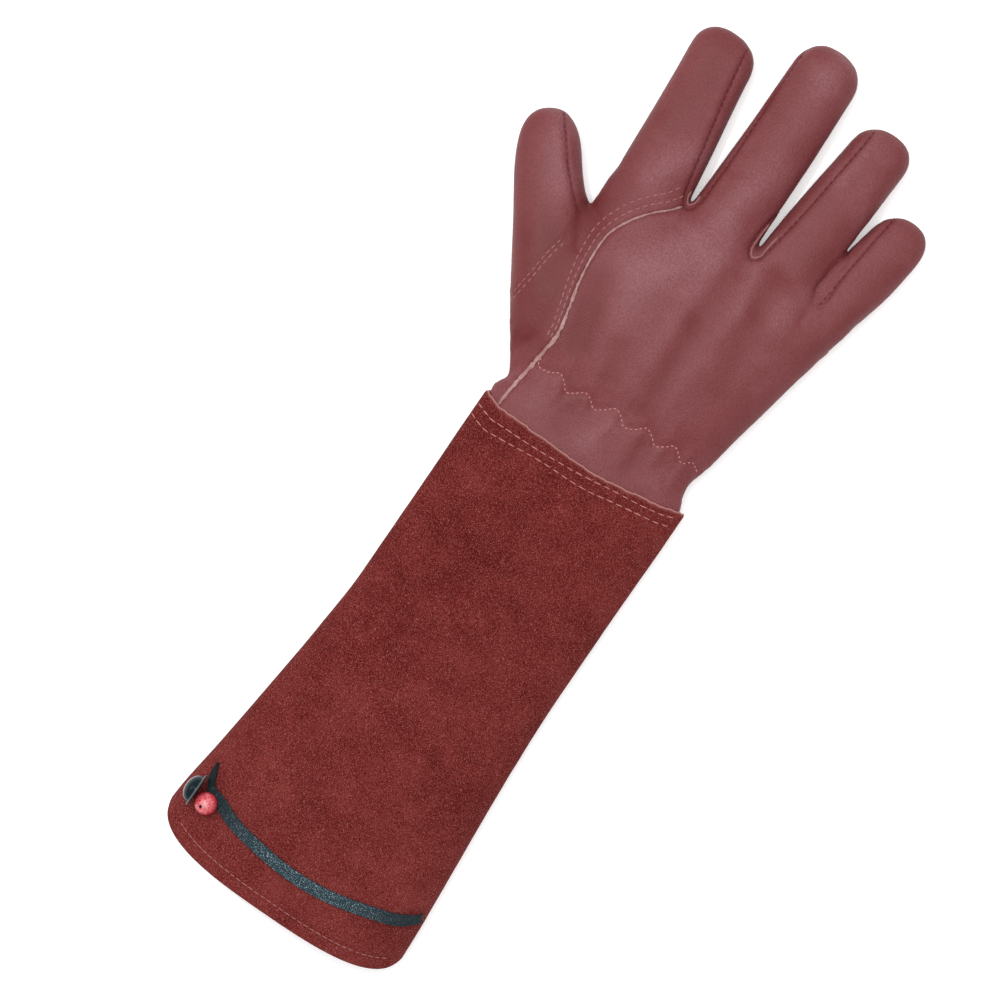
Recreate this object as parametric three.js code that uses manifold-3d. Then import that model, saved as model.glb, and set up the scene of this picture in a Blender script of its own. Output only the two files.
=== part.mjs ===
import * as THREE from "three";
import { mergeVertices } from "three/addons/utils/BufferGeometryUtils.js";
import Module from "manifold-3d";

// A right-hand rose pruning gauntlet lying palm down, in millimetres: a grain leather glove of several
// panels, with a long suede cuff that is sewn over its wrist.
// The origin is on the resting surface, under the middle of the wrist. +Y runs from the wrist to the
// fingers, +X to the little finger's side and +Z up through the back of the hand.

// Leather and clearances
const leather = 1.2;
const suede = 1.5;
const patchSuede = 1.2;
const seamGap = 0.3;
const seatSlack = 0.02;
const cuffClearance = 0.4;

// Hand
const palmLength = 106;
const palmBreadth = 116;
const palmHeight = 24;
const wristBreadth = 93;
const wristHeight = 17;
const tuckedLength = 18;
const fingerHeight = 16;
const thumbHeight = 20;
const capShare = 0.42;

// Cuff
const cuffLength = 237;
const cuffCollar = 6;
const flareRadial = 12;
const flareUlnar = 7;
const mouthRise = 6;
const cuffSettle = 1.2;
const hemCornerLength = 23;
const hemExponent = 3;

// Closure
const strapWidth = 5.6;
const strapThickness = 1.2;
const strapToHem = 20;
const beadDiameter = 9.4;
const beadBore = 2;
const buttonDiameter = 15;
const buttonRim = 1.4;
const buttonDomeDiameter = 12;
const buttonDomeHeight = 4.2;

// Welts
const weltDiameter = 2;

// Fineness of the faceted surfaces
const palmSides = 26;
const fingerSides = 14;
const cuffSides = 30;
const outlineSteps = 20;
const thumbSteps = 28;
const backSteps = 26;

const wasm = await Module();
wasm.setup();

// Solid tools

function solidFrom(geometry) {
  const bare = geometry.clone();
  bare.deleteAttribute("normal");
  bare.deleteAttribute("uv");
  const merged = mergeVertices(bare, 1e-4);
  return new wasm.Manifold(
    new wasm.Mesh({
      numProp: 3,
      vertProperties: merged.attributes.position.array,
      triVerts: new Uint32Array(merged.index.array),
    }),
  );
}

function geometryFrom(solid) {
  const mesh = solid.getMesh();
  const geometry = new THREE.BufferGeometry();
  geometry.setAttribute("position", new THREE.BufferAttribute(new Float32Array(mesh.vertProperties), 3));
  geometry.setIndex(new THREE.BufferAttribute(new Uint32Array(mesh.triVerts), 1));
  return geometry;
}

const union = (solids) => solids.reduce((whole, next) => whole.add(next));

// A soft tube through rings of points. Both ends close on a point in their middle.
function solidThroughRings(rings, firstTip, lastTip) {
  const count = rings[0].length;
  const positions = [...rings.flat(), firstTip, lastTip].flatMap((p) => [p.x, p.y, p.z]);
  const first = rings.length * count;
  const last = first + 1;
  const triangles = [];
  for (let i = 0; i < count; i++) {
    const next = (i + 1) % count;
    triangles.push(first, next, i);
    for (let r = 0; r + 1 < rings.length; r++) {
      const a = r * count + i;
      const b = r * count + next;
      triangles.push(a, b, b + count, a, b + count, a + count);
    }
    const end = (rings.length - 1) * count;
    triangles.push(end + i, end + next, last);
  }
  const geometry = new THREE.BufferGeometry();
  geometry.setAttribute("position", new THREE.Float32BufferAttribute(positions, 3));
  geometry.setIndex(triangles);
  const solid = solidFrom(geometry);
  return solid.volume() > 0 ? solid : solidFrom(flipped(geometry));
}

function flipped(geometry) {
  const turned = geometry.clone();
  const order = Array.from(geometry.index.array);
  for (let i = 0; i < order.length; i += 3) {
    [order[i + 1], order[i + 2]] = [order[i + 2], order[i + 1]];
  }
  turned.setIndex(order);
  return turned;
}

// An upright prism over a plan outline.
function prism(outline, low, high) {
  const geometry = new THREE.ExtrudeGeometry(new THREE.Shape(outline), {
    depth: high - low,
    bevelEnabled: false,
  });
  return solidFrom(geometry.translate(0, 0, low));
}

// The outline moved outwards by the same distance all along, for a seam's gap.
function grown(outline, by) {
  const ring = THREE.ShapeUtils.isClockWise(outline) ? [...outline].reverse() : outline;
  return ring.map((point, i) => {
    const before = ring[(i + ring.length - 1) % ring.length];
    const after = ring[(i + 1) % ring.length];
    const a = point.clone().sub(before).normalize();
    const b = after.clone().sub(point).normalize();
    const bisector = new THREE.Vector2(a.y + b.y, -a.x - b.x);
    return point.clone().addScaledVector(bisector, (2 * by) / bisector.lengthSq());
  });
}

const plan = (x, y) => new THREE.Vector2(x, y);

// A smooth plan curve through a few points.
function smooth(points, steps = outlineSteps) {
  return new THREE.SplineCurve(points).getPoints(steps);
}

// Soft sections: each has its widest line at the height `edge` and is fuller above it than below.
// Every section is flat where it would reach the resting surface.

const upperExponent = 2.15;
const lowerExponent = 2.7;

function ringOf(section, offset, sides, foldAt) {
  const { x, y, across, left, right, low, edge, high } = section;
  const middle = (left + right) / 2;
  const half = (right - left) / 2 + offset;
  const points = [];
  for (let i = 0; i < sides; i++) {
    const turn = (2 * Math.PI * (i + 0.5)) / sides;
    const c = Math.cos(turn);
    const s = Math.sin(turn);
    const exponent = s > 0 ? upperExponent : lowerExponent;
    const rise = s > 0 ? high - edge + offset : edge - low + offset;
    const reach = middle + half * Math.sign(c) * Math.abs(c) ** (2 / exponent);
    const z = edge + rise * Math.sign(s) * Math.abs(s) ** (2 / exponent);
    const point = new THREE.Vector3(x + across.x * reach, y + across.y * reach, Math.max(z, -offset));
    if (foldAt && s > 0) point.z += s * foldAt(point.x, point.y);
    points.push(point);
  }
  return points;
}

// The height that folds and dents add at a point: each is a soft ridge or trough along a line.
function foldsOver(rows, breadth, length, depthOf) {
  return (x, y) => {
    let height = 0;
    for (const { fromX, fromY, toX, toY, width, depth } of rows) {
      const from = plan(fromX * breadth, fromY * length);
      const line = plan(toX * breadth, toY * length).sub(from);
      const share = THREE.MathUtils.clamp(plan(x, y).sub(from).dot(line) / line.lengthSq(), 0, 1);
      const away = plan(x, y).distanceTo(from.addScaledVector(line, share));
      height += depth * depthOf * Math.exp(-((away / (width * breadth)) ** 2));
    }
    return height;
  };
}

const middleOf = (ring) =>
  ring.reduce((sum, p) => sum.add(p), new THREE.Vector3()).divideScalar(ring.length);

function softTube(sections, offset, sides, foldAt) {
  const rings = sections.map((section) => ringOf(section, offset, sides, foldAt));
  return solidThroughRings(rings, middleOf(rings[0]), middleOf(rings.at(-1)));
}

// Folds of the hand's back: places are shares of palmBreadth and palmLength, widths of palmBreadth, and
// depths of palmHeight.
const handFolds = [
  { fromX: -0.2, fromY: 0.3, toX: -0.26, toY: 0.75, width: 0.07, depth: -0.04 },
  { fromX: -0.06, fromY: 0.3, toX: -0.1, toY: 0.8, width: 0.07, depth: 0.03 },
  { fromX: 0.08, fromY: 0.32, toX: 0.07, toY: 0.85, width: 0.07, depth: -0.04 },
  { fromX: 0.2, fromY: 0.35, toX: 0.24, toY: 0.85, width: 0.06, depth: 0.03 },
  { fromX: 0.3, fromY: 0.4, toX: 0.38, toY: 0.85, width: 0.06, depth: -0.03 },
  { fromX: -0.3, fromY: 0.17, toX: 0.32, toY: 0.18, width: 0.06, depth: -0.07 },
];

// Palm: lengths along it are shares of palmLength, and `left` and `right` are shares of the breadth.
// The rows inside the cuff follow the wrist, so that the cuff always fits over them.

const wristRows = [
  { along: -1, left: -0.5, right: 0.492, low: 0.12, edge: 0.4, high: 1.0 },
  { along: -0.4, left: -0.5, right: 0.492, low: 0.12, edge: 0.4, high: 1.0 },
  { along: 0.12, left: -0.49, right: 0.483, low: 0.12, edge: 0.4, high: 1.0 },
];

const palmRows = [
  { along: 0.065, left: -0.385, right: 0.37, low: 0.086, edge: 0.29, high: 0.71 },
  { along: 0.1, left: -0.395, right: 0.362, low: 0.08, edge: 0.31, high: 0.77 },
  { along: 0.19, left: -0.453, right: 0.379, low: 0.08, edge: 0.35, high: 0.88 },
  { along: 0.3, left: -0.5, right: 0.398, low: 0.09, edge: 0.37, high: 0.96 },
  { along: 0.5, left: -0.5, right: 0.436, low: 0.1, edge: 0.38, high: 1.0 },
  { along: 0.7, left: -0.488, right: 0.476, low: 0.1, edge: 0.38, high: 0.98 },
  { along: 0.85, left: -0.48, right: 0.508, low: 0.08, edge: 0.36, high: 0.9 },
  { along: 0.92, left: -0.475, right: 0.52, low: 0.07, edge: 0.34, high: 0.83 },
  { along: 0.96, left: -0.462, right: 0.512, low: 0.1, edge: 0.33, high: 0.74 },
  { along: 0.985, left: -0.42, right: 0.47, low: 0.17, edge: 0.33, high: 0.58 },
];

const acrossPalm = plan(1, 0);

function palmSections() {
  const wrist = wristRows.map((row) => ({
    x: 0,
    y: row.along * tuckedLength,
    across: acrossPalm,
    left: row.left * wristBreadth,
    right: row.right * wristBreadth,
    low: row.low * wristHeight,
    edge: row.edge * wristHeight,
    high: row.high * wristHeight,
  }));
  const palm = palmRows.map((row) => ({
    x: 0,
    y: row.along * palmLength,
    across: acrossPalm,
    left: row.left * palmBreadth,
    right: row.right * palmBreadth,
    low: row.low * palmHeight,
    edge: row.edge * palmHeight,
    high: row.high * palmHeight,
  }));
  return [...wrist, ...palm];
}

function palmSolid(offset) {
  const sections = palmSections();
  if (offset < 0) {
    const open = { ...sections[0], y: sections[0].y - leather };
    sections.unshift(open);
    const last = sections.at(-1);
    last.y += offset;
  }
  return softTube(sections, offset, palmSides, foldsOver(handFolds, palmBreadth, palmLength, palmHeight));
}

// Fingers: the root is in shares of the palm, the lengths and widths are real ones, and `lean` turns
// the finger from +Y towards the thumb, in degrees.

const fingers = [
  { name: "index", x: -0.324, y: 0.865, length: 85, lean: 6.7, root: 32, middle: 28, tip: 26.8 },
  { name: "middle", x: -0.05, y: 0.855, length: 103, lean: 0.6, root: 31.4, middle: 29, tip: 26.8 },
  { name: "ring", x: 0.211, y: 0.855, length: 87.5, lean: -4.2, root: 28.2, middle: 27, tip: 25.8 },
  { name: "little", x: 0.414, y: 0.825, length: 66.5, lean: -8.7, root: 22.6, middle: 24.2, tip: 23.6 },
];

// Shares: `along` of the straight length before the tip, heights of fingerHeight.
const fingerRows = [
  { along: 0.0, width: "root", share: 0.7, low: 0.32, edge: 0.52, high: 1.0 },
  { along: 0.11, width: "root", share: 0.94, low: 0.14, edge: 0.47, high: 1.13 },
  { along: 0.23, width: "root", share: 1.0, low: 0.02, edge: 0.43, high: 1.12 },
  { along: 0.42, width: "middle", share: 1.02, low: 0.0, edge: 0.42, high: 1.04 },
  { along: 0.66, width: "middle", share: 1.0, low: -0.02, edge: 0.42, high: 1.0 },
  { along: 1.0, width: "tip", share: 1.0, low: -0.02, edge: 0.43, high: 0.93 },
];

const capTurns = [22, 44, 62, 77];

// Sections along a straight axis, then the ones that round its end.
function digitSections(rows, start, lean, length, capLength, sizeOf, height) {
  const angle = THREE.MathUtils.degToRad(lean);
  const ahead = plan(-Math.sin(angle), Math.cos(angle));
  const across = plan(ahead.y, -ahead.x);
  const straight = length - capLength;
  const at = (distance, half, low, edge, high) => ({
    x: start.x + ahead.x * distance,
    y: start.y + ahead.y * distance,
    across,
    left: -half,
    right: half,
    low,
    edge,
    high,
  });
  const sections = rows.map((row) =>
    at(row.along * straight, sizeOf(row) / 2, row.low * height, row.edge * height, row.high * height),
  );
  const last = sections.at(-1);
  for (const degrees of capTurns) {
    const turn = THREE.MathUtils.degToRad(degrees);
    const shrink = Math.cos(turn);
    sections.push(
      at(
        straight + capLength * Math.sin(turn),
        last.right * shrink,
        last.edge - (last.edge - last.low) * shrink,
        last.edge,
        last.edge + (last.high - last.edge) * shrink,
      ),
    );
  }
  return sections;
}

// The rounded end of an inner tube is its outer one's, moved back by the wall. The sections there are
// scaled rather than set in, so that they never turn inside out.
function digitSolid(sections, offset, sides) {
  const straightCount = sections.length - capTurns.length;
  const last = sections[straightCount - 1];
  const half = last.right;
  const inward = (half + offset) / half;
  const below = (last.edge - last.low + offset) / (last.edge - last.low);
  const above = (last.high - last.edge + offset) / (last.high - last.edge);
  const rings = sections.map((section, i) => {
    if (i < straightCount) return ringOf(section, offset, sides);
    const inset = {
      ...section,
      x: last.x + (section.x - last.x) * inward,
      y: last.y + (section.y - last.y) * inward,
      left: section.left * inward,
      right: section.right * inward,
      low: section.edge - (section.edge - section.low) * below,
      high: section.edge + (section.high - section.edge) * above,
    };
    return ringOf(inset, 0, sides).map((p) => p.setZ(Math.max(p.z, -offset)));
  });
  return solidThroughRings(rings, middleOf(rings[0]), middleOf(rings.at(-1)));
}

const fingerStart = (finger) => plan(finger.x * palmBreadth, finger.y * palmLength);

function fingerSolid(finger, offset) {
  const sizeOf = (row) => finger[row.width] * row.share;
  const capLength = finger.tip * capShare;
  const sections = digitSections(
    fingerRows,
    fingerStart(finger),
    finger.lean,
    finger.length,
    capLength,
    sizeOf,
    fingerHeight,
  );
  return digitSolid(sections, offset, fingerSides);
}

// Thumb: it is set into the palm side, so its root lies under the palm.

const thumb = { x: -0.33, y: 0.27, length: 97, lean: 35.5, width: 37, tip: 23.5 };

// Shares: `along` of the straight length, `width` of the thumb's width, heights of thumbHeight.
const thumbRows = [
  { along: 0.0, width: 0.72, low: 0.16, edge: 0.42, high: 0.7 },
  { along: 0.05, width: 0.88, low: 0.03, edge: 0.42, high: 0.85 },
  { along: 0.14, width: 0.98, low: 0.0, edge: 0.42, high: 0.95 },
  { along: 0.3, width: 1.0, low: -0.02, edge: 0.42, high: 1.0 },
  { along: 0.5, width: 0.88, low: -0.02, edge: 0.42, high: 0.97 },
  { along: 0.72, width: 0.74, low: -0.02, edge: 0.42, high: 0.9 },
  { along: 1.0, width: 0.635, low: -0.02, edge: 0.42, high: 0.8 },
];

function thumbSolid(offset) {
  const sections = digitSections(
    thumbRows,
    plan(thumb.x * palmBreadth, thumb.y * palmLength),
    thumb.lean,
    thumb.length,
    thumb.tip * capShare,
    (row) => row.width * thumb.width,
    thumbHeight,
  );
  return digitSolid(sections, offset, fingerSides);
}

const handSolid = (offset) =>
  union([palmSolid(offset), ...fingers.map((finger) => fingerSolid(finger, offset)), thumbSolid(offset)]);

const handOuter = handSolid(0);
const handShell = handOuter.subtract(handSolid(-leather));

// Seams. Heights are where the panels meet on the sides of the hand.

const sideSeam = palmHeight * 0.34;
const fourchetteLow = fingerHeight * 0.26;
const fourchetteHigh = fingerHeight * 0.7;
const beyond = 40;
const aboveAll = palmHeight * 2;
const belowAll = -palmHeight;

// A point on or beside a finger's axis: `along` is a share of its length, `side` is in millimetres.
function besideFinger(finger, along, side = 0) {
  const angle = THREE.MathUtils.degToRad(finger.lean);
  const start = fingerStart(finger);
  const distance = along * finger.length;
  return plan(
    start.x - Math.sin(angle) * distance + Math.cos(angle) * side,
    start.y + Math.cos(angle) * distance + Math.sin(angle) * side,
  );
}

const fingerNamed = (name) => fingers.find((finger) => finger.name === name);
const clefts = [
  { name: "index_middle", from: "index", to: "middle", root: 0.975 },
  { name: "middle_ring", from: "middle", to: "ring", root: 0.95 },
  { name: "ring_little", from: "ring", to: "little", root: 0.95 },
];

// The line between two fingers, from their cleft to beyond their tips.
function cleftLine(cleft) {
  const from = fingerNamed(cleft.from);
  const to = fingerNamed(cleft.to);
  const between = (a, b, share) => a.clone().lerp(b, share);
  const rootShare = from.root / (from.root + to.root);
  const root = between(fingerStart(from), fingerStart(to), rootShare);
  root.y = cleft.root * palmLength;
  const shorter = Math.min(from.length, to.length);
  const tip = between(
    besideFinger(from, shorter / from.length, from.tip / 2),
    besideFinger(to, shorter / to.length, -to.tip / 2),
    0.5,
  );
  return { root, tip, far: plan(tip.x + (tip.x - root.x) * 0.3, tip.y + beyond) };
}

const cleftLines = Object.fromEntries(clefts.map((cleft) => [cleft.name, cleftLine(cleft)]));

// Panels are taken from the shell one by one, each with the seam's gap round it.
let rest = handShell;

function take(volumes) {
  const inside = union(volumes.map((v) => prism(v.outline, v.low, v.high)));
  const outside = union(
    volumes.map((v) => prism(grown(v.outline, seamGap), v.low - seamGap, v.high + seamGap)),
  );
  const panel = rest.intersect(inside);
  rest = rest.subtract(outside);
  return panel;
}

// Of a panel's bodies, the largest: a cut can leave slivers no bigger than a grain beside it.
const mainBody = (solid) =>
  solid.decompose().reduce((best, body) => (body.volume() > best.volume() ? body : best));

// The thumb's seam: a line up the back, and a U round the set-in root on the palm side. Points are
// shares of palmBreadth and palmLength.
const inPalm = (points) => points.map(([x, y]) => plan(x * palmBreadth, y * palmLength));

const thumbSeamFoot = [-0.56, 0.25];
const thumbSeamHead = [-0.478, 0.8];
const thumbBackSeam = [thumbSeamFoot, [-0.525, 0.4], [-0.512, 0.58], thumbSeamHead];
const thumbPalmSeam = [
  thumbSeamHead,
  [-0.34, 0.69],
  [-0.215, 0.55],
  [-0.165, 0.4],
  [-0.2, 0.26],
  [-0.3, 0.175],
  [-0.41, 0.165],
  [-0.5, 0.2],
  thumbSeamFoot,
];
const outsideThumb = [
  [-0.9, 0.05],
  [-1.2, 1.2],
  [-0.53, 1.2],
  [-0.49, 0.86],
];

const thumbBackOutline = [...smooth(inPalm(thumbBackSeam)), ...inPalm([...outsideThumb].reverse())];
const thumbPalmOutline = [...smooth(inPalm(thumbPalmSeam), thumbSteps), ...inPalm(outsideThumb)];
const thumbPanel = take([
  { outline: thumbBackOutline, low: sideSeam, high: aboveAll },
  { outline: thumbPalmOutline, low: belowAll, high: sideSeam + seamGap },
]);

// Fourchettes: the strips between neighbouring fingers, down one, round the cleft and up the other.
function fourchette(cleft) {
  const from = fingerNamed(cleft.from);
  const to = fingerNamed(cleft.to);
  const { root } = cleftLines[cleft.name];
  const depth = from.root * 0.12;
  const outline = [
    plan(root.x, root.y - depth),
    plan(root.x + to.root * 0.3, root.y + depth),
    besideFinger(to, 1.2),
    besideFinger(from, 1.2),
    plan(root.x - from.root * 0.3, root.y + depth),
  ];
  return take([{ outline, low: fourchetteLow, high: fourchetteHigh }]);
}

const fourchettes = clefts.map((cleft) => ({ name: `fourchette_${cleft.name}`, solid: fourchette(cleft) }));

// Fronts of the middle and ring fingers, above the welted seam across their roots.
const frontSeamShares = [
  [-0.1, 0.945],
  [0.0, 0.955],
  [0.085, 0.965],
  [0.18, 0.945],
  [0.27, 0.94],
];

const frontSeam = () => {
  const first = cleftLines.index_middle.root;
  const last = cleftLines.ring_little.root;
  return smooth([
    plan(first.x, first.y - palmLength * 0.02),
    ...inPalm(frontSeamShares),
    plan(last.x, last.y - palmLength * 0.005),
  ]);
};

function fingerFront(leftLine, rightLine) {
  const seam = frontSeam().filter((p) => p.x > leftLine.root.x + 0.5 && p.x < rightLine.root.x - 0.5);
  const outline = [
    plan(leftLine.root.x, seam[0].y),
    ...seam,
    plan(rightLine.root.x, seam.at(-1).y),
    rightLine.tip,
    rightLine.far,
    leftLine.far,
    leftLine.tip,
  ];
  return take([{ outline, low: belowAll, high: (fourchetteLow + fourchetteHigh) / 2 }]);
}

const middleFront = fingerFront(cleftLines.index_middle, cleftLines.middle_ring);
const ringFront = fingerFront(cleftLines.middle_ring, cleftLines.ring_little);

// The back of the hand, with the backs of three fingers. Its radial seam runs from the wrist to the
// cleft beside the index finger, and its ulnar one along the glove's edge.
const backSeamShares = [
  [-0.352, -0.2],
  [-0.352, -0.03],
  [-0.345, 0.1],
  [-0.325, 0.27],
  [-0.33, 0.4],
  [-0.362, 0.55],
  [-0.376, 0.7],
  [-0.355, 0.83],
  [-0.3, 0.93],
];

const backSeam = () => smooth([...inPalm(backSeamShares), cleftLines.index_middle.root], backSteps);

function backOutline() {
  const { tip, far } = cleftLines.index_middle;
  const side = palmBreadth;
  return [...backSeam(), tip, far, plan(side, far.y), plan(side, -palmLength)];
}

const backPanel = take([{ outline: backOutline(), low: sideSeam, high: aboveAll }]);
const palmPanel = rest;

// Heights on a surface, by casting a ray down or up at it.
function surfaceOf(solid) {
  const mesh = new THREE.Mesh(geometryFrom(solid), new THREE.MeshBasicMaterial({ side: THREE.DoubleSide }));
  const ray = new THREE.Raycaster();
  return (x, y, fromAbove) => {
    const origin = new THREE.Vector3(x, y, fromAbove ? aboveAll : belowAll);
    ray.set(origin, new THREE.Vector3(0, 0, fromAbove ? -1 : 1));
    const hits = ray.intersectObject(mesh);
    return hits.length ? hits[0].point.z : undefined;
  };
}

const handHeight = surfaceOf(handOuter);

// A welt: a thin round piping along a plan curve, seated on the leather with the seam's gap.
function weltAlong(points, fromAbove) {
  const lift = (fromAbove ? 1 : -1) * (seamGap + weltDiameter * 0.1);
  const route = points
    .map((p) => ({ p, z: handHeight(p.x, p.y, fromAbove) }))
    .filter(({ z }) => z !== undefined)
    .map(({ p, z }) => new THREE.Vector3(p.x, p.y, z + lift));
  const curve = new THREE.CatmullRomCurve3(route);
  const section = new THREE.Shape();
  section.absarc(0, 0, weltDiameter / 2, 0, 2 * Math.PI);
  const geometry = new THREE.ExtrudeGeometry(section, {
    steps: Math.round(curve.getLength() / (2.5 * weltDiameter)),
    curveSegments: 3,
    bevelEnabled: false,
    extrudePath: curve,
  });
  const above = solidFrom(geometry).subtract(handSolid(seamGap));
  return mainBody(above);
}

const backWelt = weltAlong(
  backSeam()
    .filter((p) => p.y > -cuffCollar * 0.4)
    .slice(0, -1),
  true,
);
const fingerWelt = weltAlong(frontSeam().slice(1, -1), false);
const thumbWelt = weltAlong(smooth(inPalm(thumbPalmSeam), thumbSteps).slice(7, -2), false);

// Palm patch: a suede wedge sewn over the leather, across the roots of the fingers. Shares as above.
const patchUlnar = [
  [0.6, 0.845],
  [0.6, 0.39],
];
const patchTop = [
  [0.3, 0.89],
  [0.06, 0.925],
  [-0.16, 0.925],
  [-0.3, 0.91],
];
const patchNose = [
  [-0.385, 0.885],
  [-0.395, 0.835],
];
const patchBottom = [
  [-0.33, 0.8],
  [-0.16, 0.765],
  [0.04, 0.69],
  [0.22, 0.585],
  [0.37, 0.475],
];

const patchOutline = smooth(
  inPalm([patchUlnar[0], ...patchTop, ...patchNose, ...patchBottom, patchUlnar[1]]),
  26,
);
const patch = mainBody(
  handSolid(seamGap + patchSuede)
    .subtract(handSolid(seamGap))
    .intersect(prism(patchOutline, belowAll, sideSeam - seamGap)),
);

// Cuff: lengths are shares of cuffLength from its collar to its hem, and the flare's of its own two
// sizes. Its collar fits over the tucked wrist.

const cuffRows = [
  { along: 0.0, flare: 0.0, edge: 1.0, rise: 0.0 },
  { along: 0.11, flare: 0.0, edge: 1.0, rise: 0.0 },
  { along: 0.22, flare: -0.02, edge: 0.95, rise: 0.06 },
  { along: 0.42, flare: 0.0, edge: 0.9, rise: 0.2 },
  { along: 0.54, flare: 0.13, edge: 0.88, rise: 0.36 },
  { along: 0.68, flare: 0.42, edge: 0.86, rise: 0.6 },
  { along: 0.8, flare: 0.72, edge: 0.86, rise: 0.84 },
  { along: 0.92, flare: 0.97, edge: 0.88, rise: 1.0 },
  { along: 1.0, flare: 1.02, edge: 0.88, rise: 1.02 },
];

// Dents of the cuff's back, in shares of collarBreadth, cuffLength and cuffHeight.
const cuffDents = [
  { fromX: -0.25, fromY: -0.32, toX: -0.12, toY: -0.62, width: 0.22, depth: -0.05 },
  { fromX: 0.2, fromY: -0.2, toX: 0.26, toY: -0.5, width: 0.16, depth: -0.05 },
  { fromX: 0.02, fromY: -0.3, toX: 0.1, toY: -0.8, width: 0.14, depth: 0.04 },
  { fromX: -0.1, fromY: -0.84, toX: 0.3, toY: -0.78, width: 0.18, depth: -0.05 },
];

const collarTop = cuffCollar;
const hemY = collarTop - cuffLength;
const cuffY = (along) => collarTop - along * cuffLength;
const collarRow = wristRows[0];
const collarLeft = collarRow.left * wristBreadth - cuffClearance - suede;
const collarRight = collarRow.right * wristBreadth + cuffClearance + suede;
const collarBreadth = collarRight - collarLeft;
const collarHigh = wristHeight + cuffClearance + suede;
const cuffHeight = collarHigh + mouthRise;
const dentAt = foldsOver(cuffDents, collarBreadth, cuffLength, cuffHeight);

function cuffSections() {
  return cuffRows.map((row) => {
    const high = collarHigh + row.rise * mouthRise;
    return {
      x: 0,
      y: cuffY(row.along),
      across: acrossPalm,
      left: collarLeft - row.flare * flareRadial,
      right: collarRight + row.flare * flareUlnar,
      low: -cuffSettle,
      edge: row.edge * collarRow.edge * wristHeight,
      high,
    };
  });
}

function cuffSolid(offset) {
  const sections = cuffSections();
  const over = Math.abs(offset) + 1;
  sections.unshift({ ...sections[0], y: sections[0].y + over });
  sections.push({ ...sections.at(-1), y: sections.at(-1).y - over });
  return softTube(sections, offset, cuffSides, dentAt);
}

// The hem's plan is a superellipse, and the collar's edge dips on the back and rises on the palm.
const mouthLeft = collarLeft - 1.02 * flareRadial;
const mouthRight = collarRight + 1.02 * flareUlnar;

function hemLine(inset = 0) {
  const middle = (mouthLeft + mouthRight) / 2;
  const half = (mouthRight - mouthLeft) / 2 - inset;
  const points = [];
  for (let i = 0; i <= outlineSteps; i++) {
    const turn = Math.PI * (1 + i / outlineSteps);
    const c = Math.cos(turn);
    const s = Math.sin(turn);
    points.push(
      plan(
        middle + half * Math.sign(c) * Math.abs(c) ** (2 / hemExponent),
        hemY + hemCornerLength - (hemCornerLength - inset) * Math.abs(s) ** (2 / hemExponent),
      ),
    );
  }
  return points;
}

// Collar edges from the radial to the ulnar side: `x` as a share of the collar, `y` of cuffCollar.
const collarBackEdge = [
  [-1.1, -0.15],
  [-0.97, -0.4],
  [-0.8, -0.85],
  [-0.4, -1.05],
  [0, -1.08],
  [0.3, -0.95],
  [0.65, -0.4],
  [0.98, 0.15],
  [1.1, 0.2],
];
const collarPalmEdge = [
  [-1.1, -0.2],
  [-0.97, -0.15],
  [-0.6, 0.5],
  [-0.2, 0.83],
  [0.1, 0.83],
  [0.5, 0.55],
  [0.98, 0.1],
  [1.1, 0.2],
];

function cuffOutline(edge) {
  const half = collarBreadth / 2;
  const top = smooth(edge.map(([x, y]) => plan(x * half, y * cuffCollar))).reverse();
  const out = half * 2;
  const corner = hemY + hemCornerLength;
  return [
    plan(-out, top.at(-1).y),
    plan(-out, corner),
    ...hemLine(),
    plan(out, corner),
    plan(out, top[0].y),
    ...top,
  ];
}

const cuffEdgeHeight = 0.3 * collarHigh;
const cuffTube = cuffSolid(0).subtract(cuffSolid(-suede));
const cuffBack = cuffTube.intersect(prism(cuffOutline(collarBackEdge), cuffEdgeHeight, aboveAll));
const cuffPalm = cuffTube.intersect(prism(cuffOutline(collarPalmEdge), belowAll, cuffEdgeHeight));
const cuff = mainBody(cuffBack.add(cuffPalm));

// Elastic strap: from the ulnar side seam across the back of the cuff, in a curve like the hem's, and
// turned towards the hand at its end. Shares: `x` of the mouth's breadth, `y` of strapToHem above the hem.
const mouthBreadth = mouthRight - mouthLeft;
const strapRoute = [
  [0.52, 2.05],
  [0.468, 1.75],
  [0.433, 1.55],
  [0.39, 1.4],
  [0.303, 1.25],
  [0.217, 1.125],
  [0.087, 1.0],
  [-0.043, 0.975],
  [-0.173, 1.05],
  [-0.303, 1.2],
  [-0.364, 1.36],
  [-0.402, 1.56],
  [-0.423, 1.8],
  [-0.432, 2.03],
];
const onCuff = ([x, y]) => plan(x * mouthBreadth, hemY + y * strapToHem);

// A strip of even width along a plan curve.
function strip(points, width) {
  const side = (sign) =>
    points.map((p, i) => {
      const before = points[Math.max(i - 1, 0)];
      const after = points[Math.min(i + 1, points.length - 1)];
      const ahead = after.clone().sub(before).normalize();
      return plan(p.x - ahead.y * sign * width * 0.5, p.y + ahead.x * sign * width * 0.5);
    });
  return [...side(1), ...side(-1).reverse()];
}

const cuffWhole = cuffSolid(0);
const strapPrism = prism(strip(smooth(strapRoute.map(onCuff), 26), strapWidth), cuffEdgeHeight, aboveAll);
const strap = mainBody(
  cuffSolid(seamGap + strapThickness).subtract(cuffSolid(seamGap)).intersect(strapPrism),
);

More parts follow.
